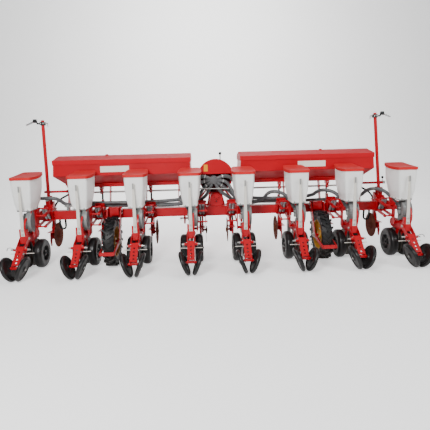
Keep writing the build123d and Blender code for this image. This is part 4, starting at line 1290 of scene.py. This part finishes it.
@dataclass
class Hoses:
    """Ribbed vacuum hoses and smooth fertilizer hoses along the routes of their solids."""

    drop_x: float = 0.119
    spigot_x: float = -0.020
    spigot_y: float = -0.126
    spigot_top: float = 0.662
    elbows: tuple[float, float] = (-0.066, -0.045)
    hub: Point = (-0.03, 0.179, 1.088)
    reach: float = 0.118
    angles: tuple[float, ...] = (20.0, -8.0, -36.0, -64.0)
    outlet_y: float = 0.48
    tank_in: float = 0.5
    tank_out: float = 2.04
    inner_ways: tuple[tuple[Point, ...], tuple[Point, ...]] = (
        # from the fan to the middle row on its left, and on its right
        ((-0.300, 0.142, 0.985), (-0.470, 0.169, 0.885), (-0.512, 0.102, 0.845)),
        ((0.205, 0.172, 0.965), (0.245, 0.124, 0.872)),
    )
    starts: tuple[tuple[int, tuple[Point, ...]], ...] = (
        # spigot and way down to the lane, for the first, second and third outer row
        (2, ((0.218, 0.229, 0.890), (0.330, 0.234, 0.748))),
        (0, ((0.250, 0.214, 1.080), (0.310, 0.234, 0.930), (0.380, 0.234, 0.8))),
        (3, ((0.145, 0.214, 0.860), (0.230, 0.286, 0.790), (0.330, 0.286, 0.748))),
    )
    rises: tuple[tuple[float, tuple[Point, ...]], ...] = (
        # where the hose leaves its lane, seen from the row, and its way up to the row:
        # rows on the left, the farthest row on the left, rows on the right
        (-0.090, ((-0.168, 0.186, 0.875), (-0.150, 0.102, 0.850))),
        (0.380, ((0.280, 0.204, 0.890), (0.120, 0.169, 0.900), (-0.070, 0.169, 0.895),
                 (-0.150, 0.114, 0.850))),
        (-0.420, ((-0.320, 0.212, 0.895), (-0.200, 0.134, 0.905), (-0.100, 0.094, 0.862))),
    )

    def spigot(self, side: int, number: int) -> list[Point]:
        """Return the first points of a hose, straight out of its spigot.

        Args:
            side: Side of the fan that it is on.
            number: Number of the spigot, counted from the top.
        """
        turn = math.radians(self.angles[number])
        way = Vector((side * math.cos(turn), 0.0, math.sin(turn)))
        end = Vector(self.hub) + way * self.reach
        return [tuple(end - way * 0.02), tuple(end + way * 0.06)]

    def ends(self, x: float, side: int) -> list[Point]:
        """Return the last points of a hose, into its metering unit.

        Args:
            x: Place of the row.
            side: Side of the fan that the row is on.
        """
        down = x + self.spigot_x
        return [(x + self.elbows[side > 0], 0.039, 0.772), (down, -0.036, 0.712),
                (down, self.spigot_y, 0.712), (down, self.spigot_y, self.spigot_top - 0.02)]

    def route(self, side: int, place: int, x: float) -> list[Point]:
        """Return the route from the fan to a row, over the toolbar if it is an outer one.

        Args:
            side: Side of the fan that the row is on.
            place: Place of the row, counted from the fan, 0 for a middle one.
            x: Place of the row across the machine.
        """
        if not place:
            return self.spigot(side, 1) + [*self.inner_ways[side > 0]] + self.ends(x, side)
        number, down = self.starts[place - 1]
        leave, up = self.rises[2 if side > 0 else place // len(self.starts)]
        lane = (leave, *down[-1][1:])
        way = [across(point, side) for point in down] + [moved(point, x) for point in (lane, *up)]
        return self.spigot(side, number) + way + self.ends(x, side)

    def feed(self, x: float, side: int) -> list[Point]:
        """Return the route from a tank's outlet down to the coulter's drop tube.

        Args:
            x: Place of the row.
            side: Side that the row's linkage is on.
        """
        drop = x + side * self.drop_x
        out = -side * max(self.tank_in, min(self.tank_out, abs(drop)))
        points = [(out, self.outlet_y, 0.985), (out, self.outlet_y, 0.94)]
        if abs(out - drop) > 0.001:
            points.append((drop, self.outlet_y, 0.8))
        return points + [(drop, 0.421, 0.555), (drop, 0.3543, 0.506), (drop, 0.3543, 0.458)]

    def clamps(self, routes: list[list[Point]]) -> None:
        """Put a band on both ends of each vacuum hose.

        Args:
            routes: Routes of the hoses.
        """
        bands = Mesh()
        for route in routes:
            for end, inner in ((route[0], route[1]), (route[-1], route[-2])):
                way = (Vector(inner) - Vector(end)).normalized()
                bands.rod(Vector(end) + way * 0.026, Vector(end) + way * 0.038, 0.0272, sides=20)
        bands.finish("hose_bands", ZINC, ROOT, smooth=True)

    def build(self) -> None:
        """Build the hoses and their bands."""
        routes = []
        feeds = []
        for number, x, side in LAY.places():
            place = abs(2 * number - LAY.rows - 1) // 2
            routes.append(self.route(-side, place, x))
            feeds.append(self.feed(x, side))
        lines = spline("vacuum_routes", routes)
        piece = RibbedHose().run("vacuum_hoses", lines, HOSE, ROOT, smooth=True)
        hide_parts("hoses")
        bent_bar("feed_hoses", feeds, 0.0135, BLACK, ROOT)
        self.clamps(routes)


@dataclass
class Markers:
    """Black and bare metal parts at the top of each folded marker arm."""

    fasteners: Fasteners
    top_z: float = 1.95
    tops: tuple[tuple[int, str, float], ...] = ((-1, "left", -2.32), (1, "right", 2.235))
    foot_x: float = 2.32
    foot_z: float = 0.88
    clamp_half: float = 0.0312
    crank_drop: float = 0.044
    crank_r: float = 0.0102
    handle_r: float = 0.0068
    tine_half: float = 0.0165
    lock: Block = ((2.352, 0.296, 0.952), (2.428, 0.322, 0.992), 0.003)
    lock_rod: tuple[Point, Point] = ((2.392, 0.316, 0.992), (2.392, 0.316, 1.034))
    lock_knob: Point = (2.392, 0.3165, 1.044)
    tine: tuple[tuple[float, float], ...] = (
        # outwards from the pole, down from its top
        (0.1229, 0.0066), (0.2258, 0.0574), (0.2142, 0.0668), (0.1229, 0.0314))

    def head(self, side: int, name: str, x: float) -> None:
        """Sheathe the clamp, crank, hub, tine and handle of one arm.

        Args:
            side: Side that the arm is on.
            name: Name of that side.
            x: Place of the arm's top.
        """
        y = LAY.bar_y
        z = self.top_z
        half = self.clamp_half
        rod = z - self.crank_drop
        hub = z - 0.008
        body = f"marker_arm_{name}"
        black = Mesh().block((x - half, y - half, z - 0.067), (x + half, y + half, z - 0.023), 0.003)
        elbow = (x + side * 0.072, y, rod)
        axle = (x + side * 0.084, y, hub)
        black.rod((x, y, rod), elbow, self.crank_r).ball(elbow, 0.0104).rod(elbow, axle, self.crank_r)
        black.rod(axle, (x + side * 0.1228, y, hub), 0.0252, sides=20)
        black.finish(f"marker_crank_{name}", BLACK, body, smooth=True)
        tine = [(x + side * dx, z - drop) for dx, drop in self.tine]
        plain = Mesh().slab(tine, 1, y - self.tine_half, y + self.tine_half)
        plain.finish(f"marker_tine_{name}", STEEL, body)
        handle = (x - side * 0.066, y, z - 0.04)
        bar = Mesh().rod((x - side * half, y, z - 0.04), handle, self.handle_r).ball(handle, 0.007)
        bar.rod(handle, (handle[0], y, z - 0.0845), self.handle_r)
        bar.finish(f"marker_handle_{name}", ZINC, body, smooth=True)

    def rest_lock(self) -> None:
        """Put the plated lock with its black knob on the right-hand arm's rest."""
        lock = Mesh().block(*self.lock)
        lock.rod(*self.lock_rod, 0.0055)
        lock.finish("rest_lock", ZINC, ROOT, smooth=True)
        Mesh().ball(self.lock_knob, 0.0185).finish("rest_knob", BLACK, ROOT, smooth=True)

    def build(self) -> None:
        """Build the pieces of both markers."""
        self.rest_lock()
        for side, name, x in self.tops:
            self.head(side, name, x)
            seats = Seats()
            foot = side * self.foot_x
            for way, end in ((Way.REAR, -0.0622), (Way.FRONT, 0.0622)):
                seats.add((foot, LAY.bar_y + end, self.foot_z), way.value, 0.021)
            for dx in (-0.018, 0.018):
                face = LAY.bar_y - self.clamp_half
                seats.add((x + dx, face, self.top_z - 0.045), Way.REAR.value, 0.007)
            self.fasteners.run(f"marker_nuts_{name}", seats, ZINC, f"marker_arm_{name}")


@dataclass
class Hitch:
    """Headstock pins, welds, end caps, stand pins and hooks on the toolbar."""

    pin_x: tuple[float, float] = (0.468, 0.5405)
    pin_y: float = 0.624
    pin_z: float = 0.48
    leg_x: float = 1.05
    leg_y: float = 0.356
    leg_z: float = 0.675
    cap_x: tuple[float, float] = (2.5998, 2.6045)
    cap_gap: float = 0.002
    stub: tuple[float, float] = (0.232, 0.772)
    stub_x: tuple[float, float] = (-2.10, -1.92)
    bearing_x: tuple[float, float] = (-2.055, -1.965)
    weld_x: tuple[float, ...] = (0.3575, 0.3775, 0.4475, 0.4675)
    weld_z: tuple[float, ...] = (0.592, 0.63, 0.67, 0.708)
    hook: tuple[Point, ...] = (
        (2.205, 0.30, 0.5895), (2.208, 0.312, 0.52), (2.206, 0.318, 0.455), (2.17, 0.32, 0.437),
        (2.132, 0.32, 0.452), (2.128, 0.312, 0.52), (2.128, 0.30, 0.5895))

    def pins(self) -> None:
        """Sheathe the lower link pins and hang their rings."""
        pins = Mesh()
        rings = []
        for side in (-1, 1):
            ends = [(side * out, self.pin_y, self.pin_z) for out in self.pin_x]
            pins.rod(*ends, 0.0145, sides=20)
            rings.append(circle((side * 0.522, self.pin_y, self.pin_z - 0.012), 0.027, 12, 0))
            ends = [(side * (self.leg_x + out), self.leg_y, self.leg_z) for out in (0.033, 0.062)]
            pins.rod(*ends, 0.008)
            rings.append(circle((side * (self.leg_x + 0.056), self.leg_y, 0.656), 0.018, 12, 0))
        pins.finish("hitch_pins", ZINC, ROOT, smooth=True)
        bent_bar("pin_rings", rings, 0.0022, ZINC, ROOT, closed=True)

    def caps(self) -> None:
        """Close the toolbar's ends with moulded caps."""
        caps = Mesh()
        for side in (-1, 1):
            low, high = sorted(side * out for out in self.cap_x)
            caps.block((low, LAY.bar_rear + self.cap_gap, LAY.bar_low + self.cap_gap),
                       (high, LAY.bar_front - self.cap_gap, LAY.bar_top - self.cap_gap), 0.002)
        caps.finish("bar_caps", BLACK, ROOT, smooth=True)

    def welds(self) -> None:
        """Lay the ribbed welds where the hitch lugs meet the toolbar."""
        routes = []
        for side in (-1, 1):
            for out in self.weld_x:
                routes.append([(side * out, LAY.bar_front + 0.001, z) for z in self.weld_z])
        RibbedHose().run("lug_welds", spline("weld_lines", routes), RED, ROOT,
                         {"Radius": 0.0042, "Pitch": 0.006, "Rib": 0.16, "Sides": 8}, smooth=True)

    def bearings(self) -> None:
        """Set the shaft stub on its two bearings above the left end of the toolbar."""
        blocks = Mesh()
        for x in self.bearing_x:
            blocks.block((x - 0.012, 0.208, LAY.bar_top + 0.0003), (x + 0.012, 0.256, 0.772), 0.004)
            blocks.rod((x - 0.014, *self.stub), (x + 0.014, *self.stub), 0.026, sides=20)
        blocks.finish("shaft_bearings", CASTING, ROOT, smooth=True)
        ends = [(x, *self.stub) for x in self.stub_x]
        stub = Mesh().rod(*ends, 0.0115, sides=6)
        stub.finish("shaft_stub", ZINC, ROOT)

    def hooks(self) -> None:
        """Bend the black hooks under the toolbar's ends."""
        routes = [[across(point, side) for point in self.hook] for side in (-1, 1)]
        bent_bar("bar_hooks", routes, 0.0135, BLACK, ROOT)

    def build(self) -> None:
        """Build all the pieces of the toolbar."""
        self.pins()
        self.caps()
        self.welds()
        self.bearings()
        self.hooks()


@dataclass
class Studio:
    """Pale floor, soft lights and the camera at the photograph's angle."""

    camera_at: Point = (-0.184, -5.1395, 1.574)
    yaw: float = 0.0315
    down: float = 0.1279
    roll: float = -0.0254
    lens: float = 32.47
    shift_y: float = -0.049
    floor_half: float = 14.0
    floor_front: float = -12.0
    floor_back: float = 9.0
    floor_top: float = 11.0
    bend: float = 4.0
    bend_steps: int = 10
    floor_colour: Colour = (0.88, 0.88, 0.875)
    floor_glow: tuple[float, float] = (0.06, 0.62)
    room_colour: Colour = (0.92, 0.95, 1.0)
    room_glow: tuple[float, float] = (0.13, 1.1)
    lamps: tuple[tuple[str, Point, float, float, Point], ...] = (
        # name, place, side, watts, point that it shines at
        ("key_light", (-2.2, -5.6, 4.2), 1.8, 460.0, (0.0, 0.0, 0.7)),
        ("fill_light", (4.6, -3.6, 3.4), 1.8, 140.0, (0.0, 0.0, 0.7)),
        ("top_light", (0.5, 0.4, 5.0), 3.0, 90.0, (0.0, 0.0, 0.7)),
        ("backdrop_light", (0.0, 3.2, 6.5), 5.0, 900.0, (0.0, 9.0, 3.0)),
    )

    def floor(self) -> None:
        """Lay a pale floor that runs up behind the planter in one bend."""
        mesh = bpy.data.meshes.new("floor")
        profile = [(self.floor_front, 0.0), (self.floor_back - self.bend, 0.0)]
        for step in range(1, self.bend_steps + 1):
            turn = math.pi / 2 * step / self.bend_steps
            profile.append((self.floor_back - self.bend * (1 - math.sin(turn)),
                            self.bend * (1 - math.cos(turn))))
        profile.append((self.floor_back, self.floor_top))
        verts = [(side * self.floor_half, y, z - 0.001) for side in (-1, 1) for y, z in profile]
        count = len(profile)
        faces = [(i, i + 1, count + i + 1, count + i) for i in range(count - 1)]
        mesh.from_pydata(verts, [], faces)
        mesh.shade_smooth()
        plain = bpy.data.materials.new("floor_pale")
        plain.use_nodes = True
        shader = plain.node_tree.nodes["Principled BSDF"]
        shader.inputs["Base Color"].default_value = (*self.floor_colour, 1.0)
        shader.inputs["Roughness"].default_value = 0.8
        shader.inputs["Emission Color"].default_value = (1.0, 1.0, 1.0, 1.0)
        self.glow(plain.node_tree, shader.inputs["Emission Strength"], *self.floor_glow)
        mesh.materials.append(plain)
        floor = bpy.data.objects.new("floor", mesh)
        bpy.context.scene.collection.objects.link(floor)

    @staticmethod
    def glow(tree: bpy.types.NodeTree, socket: bpy.types.NodeSocket, cast: float, seen: float) -> None:
        """Let the stage look brighter than the light that it casts on the planter.

        Args:
            tree: Node tree of the floor or the room.
            socket: Its strength.
            cast: Strength of the light that it casts.
            seen: Strength that shows when it is looked at.
        """
        path = wire(tree, "ShaderNodeLightPath")
        choose = wire(tree, "ShaderNodeMapRange",
                      {"Value": path.outputs["Is Camera Ray"], "To Min": cast, "To Max": seen})
        tree.links.new(choose.outputs["Result"], socket)

    def lamp(self, name: str, at: Point, size: float, power: float, aim: Point) -> None:
        """Hang a square soft light.

        Args:
            name: Name of the light.
            at: Its place.
            size: Length of its side.
            power: Its power in watts.
            aim: Point that it shines at.
        """
        data = bpy.data.lights.new(name, "AREA")
        data.size = size
        data.energy = power
        lamp = bpy.data.objects.new(name, data)
        lamp.location = at
        lamp.rotation_euler = (Vector(aim) - Vector(at)).to_track_quat("-Z", "Y").to_euler()
        bpy.context.scene.collection.objects.link(lamp)

    def world(self) -> None:
        """Fill the room with an even grey light."""
        world = bpy.data.worlds.new("room")
        world.use_nodes = True
        back = world.node_tree.nodes["Background"]
        back.inputs["Color"].default_value = (*self.room_colour, 1.0)
        self.glow(world.node_tree, back.inputs["Strength"], *self.room_glow)
        bpy.context.scene.world = world

    def camera(self) -> None:
        """Set the camera where the photograph was taken."""
        data = bpy.data.cameras.new("camera")
        data.lens = self.lens
        data.sensor_width = 36.0
        data.shift_y = self.shift_y
        data.clip_end = 60.0
        camera = bpy.data.objects.new("camera", data)
        ahead = Vector((math.sin(self.yaw) * math.cos(self.down), math.cos(self.yaw) * math.cos(self.down),
                        -math.sin(self.down)))
        level = Vector((math.cos(self.yaw), -math.sin(self.yaw), 0.0))
        top = level.cross(ahead)
        right = math.cos(self.roll) * level + math.sin(self.roll) * top
        up = -math.sin(self.roll) * level + math.cos(self.roll) * top
        turn = Matrix((right, up, -ahead)).transposed().to_4x4()
        camera.matrix_world = Matrix.Translation(Vector(self.camera_at)) @ turn
        bpy.context.scene.collection.objects.link(camera)
        bpy.context.scene.camera = camera

    def build(self) -> None:
        """Set the whole stage."""
        self.floor()
        self.world()
        for row in self.lamps:
            self.lamp(*row)
        self.camera()


def main() -> None:
    """Build every piece in order."""
    logging.basicConfig(level=logging.INFO, format="%(name)s: %(message)s")
    Studio().build()
    LOG.info("dressed %d nodes", dress_nodes())
    fasteners = Fasteners()
    for part in (RowUnits, Wheels, Coulters, Tanks, Fan):
        part(fasteners).build()
    Hoses().build()
    Markers(fasteners).build()
    Hitch().build()


if __name__ == "__main__":
    main()
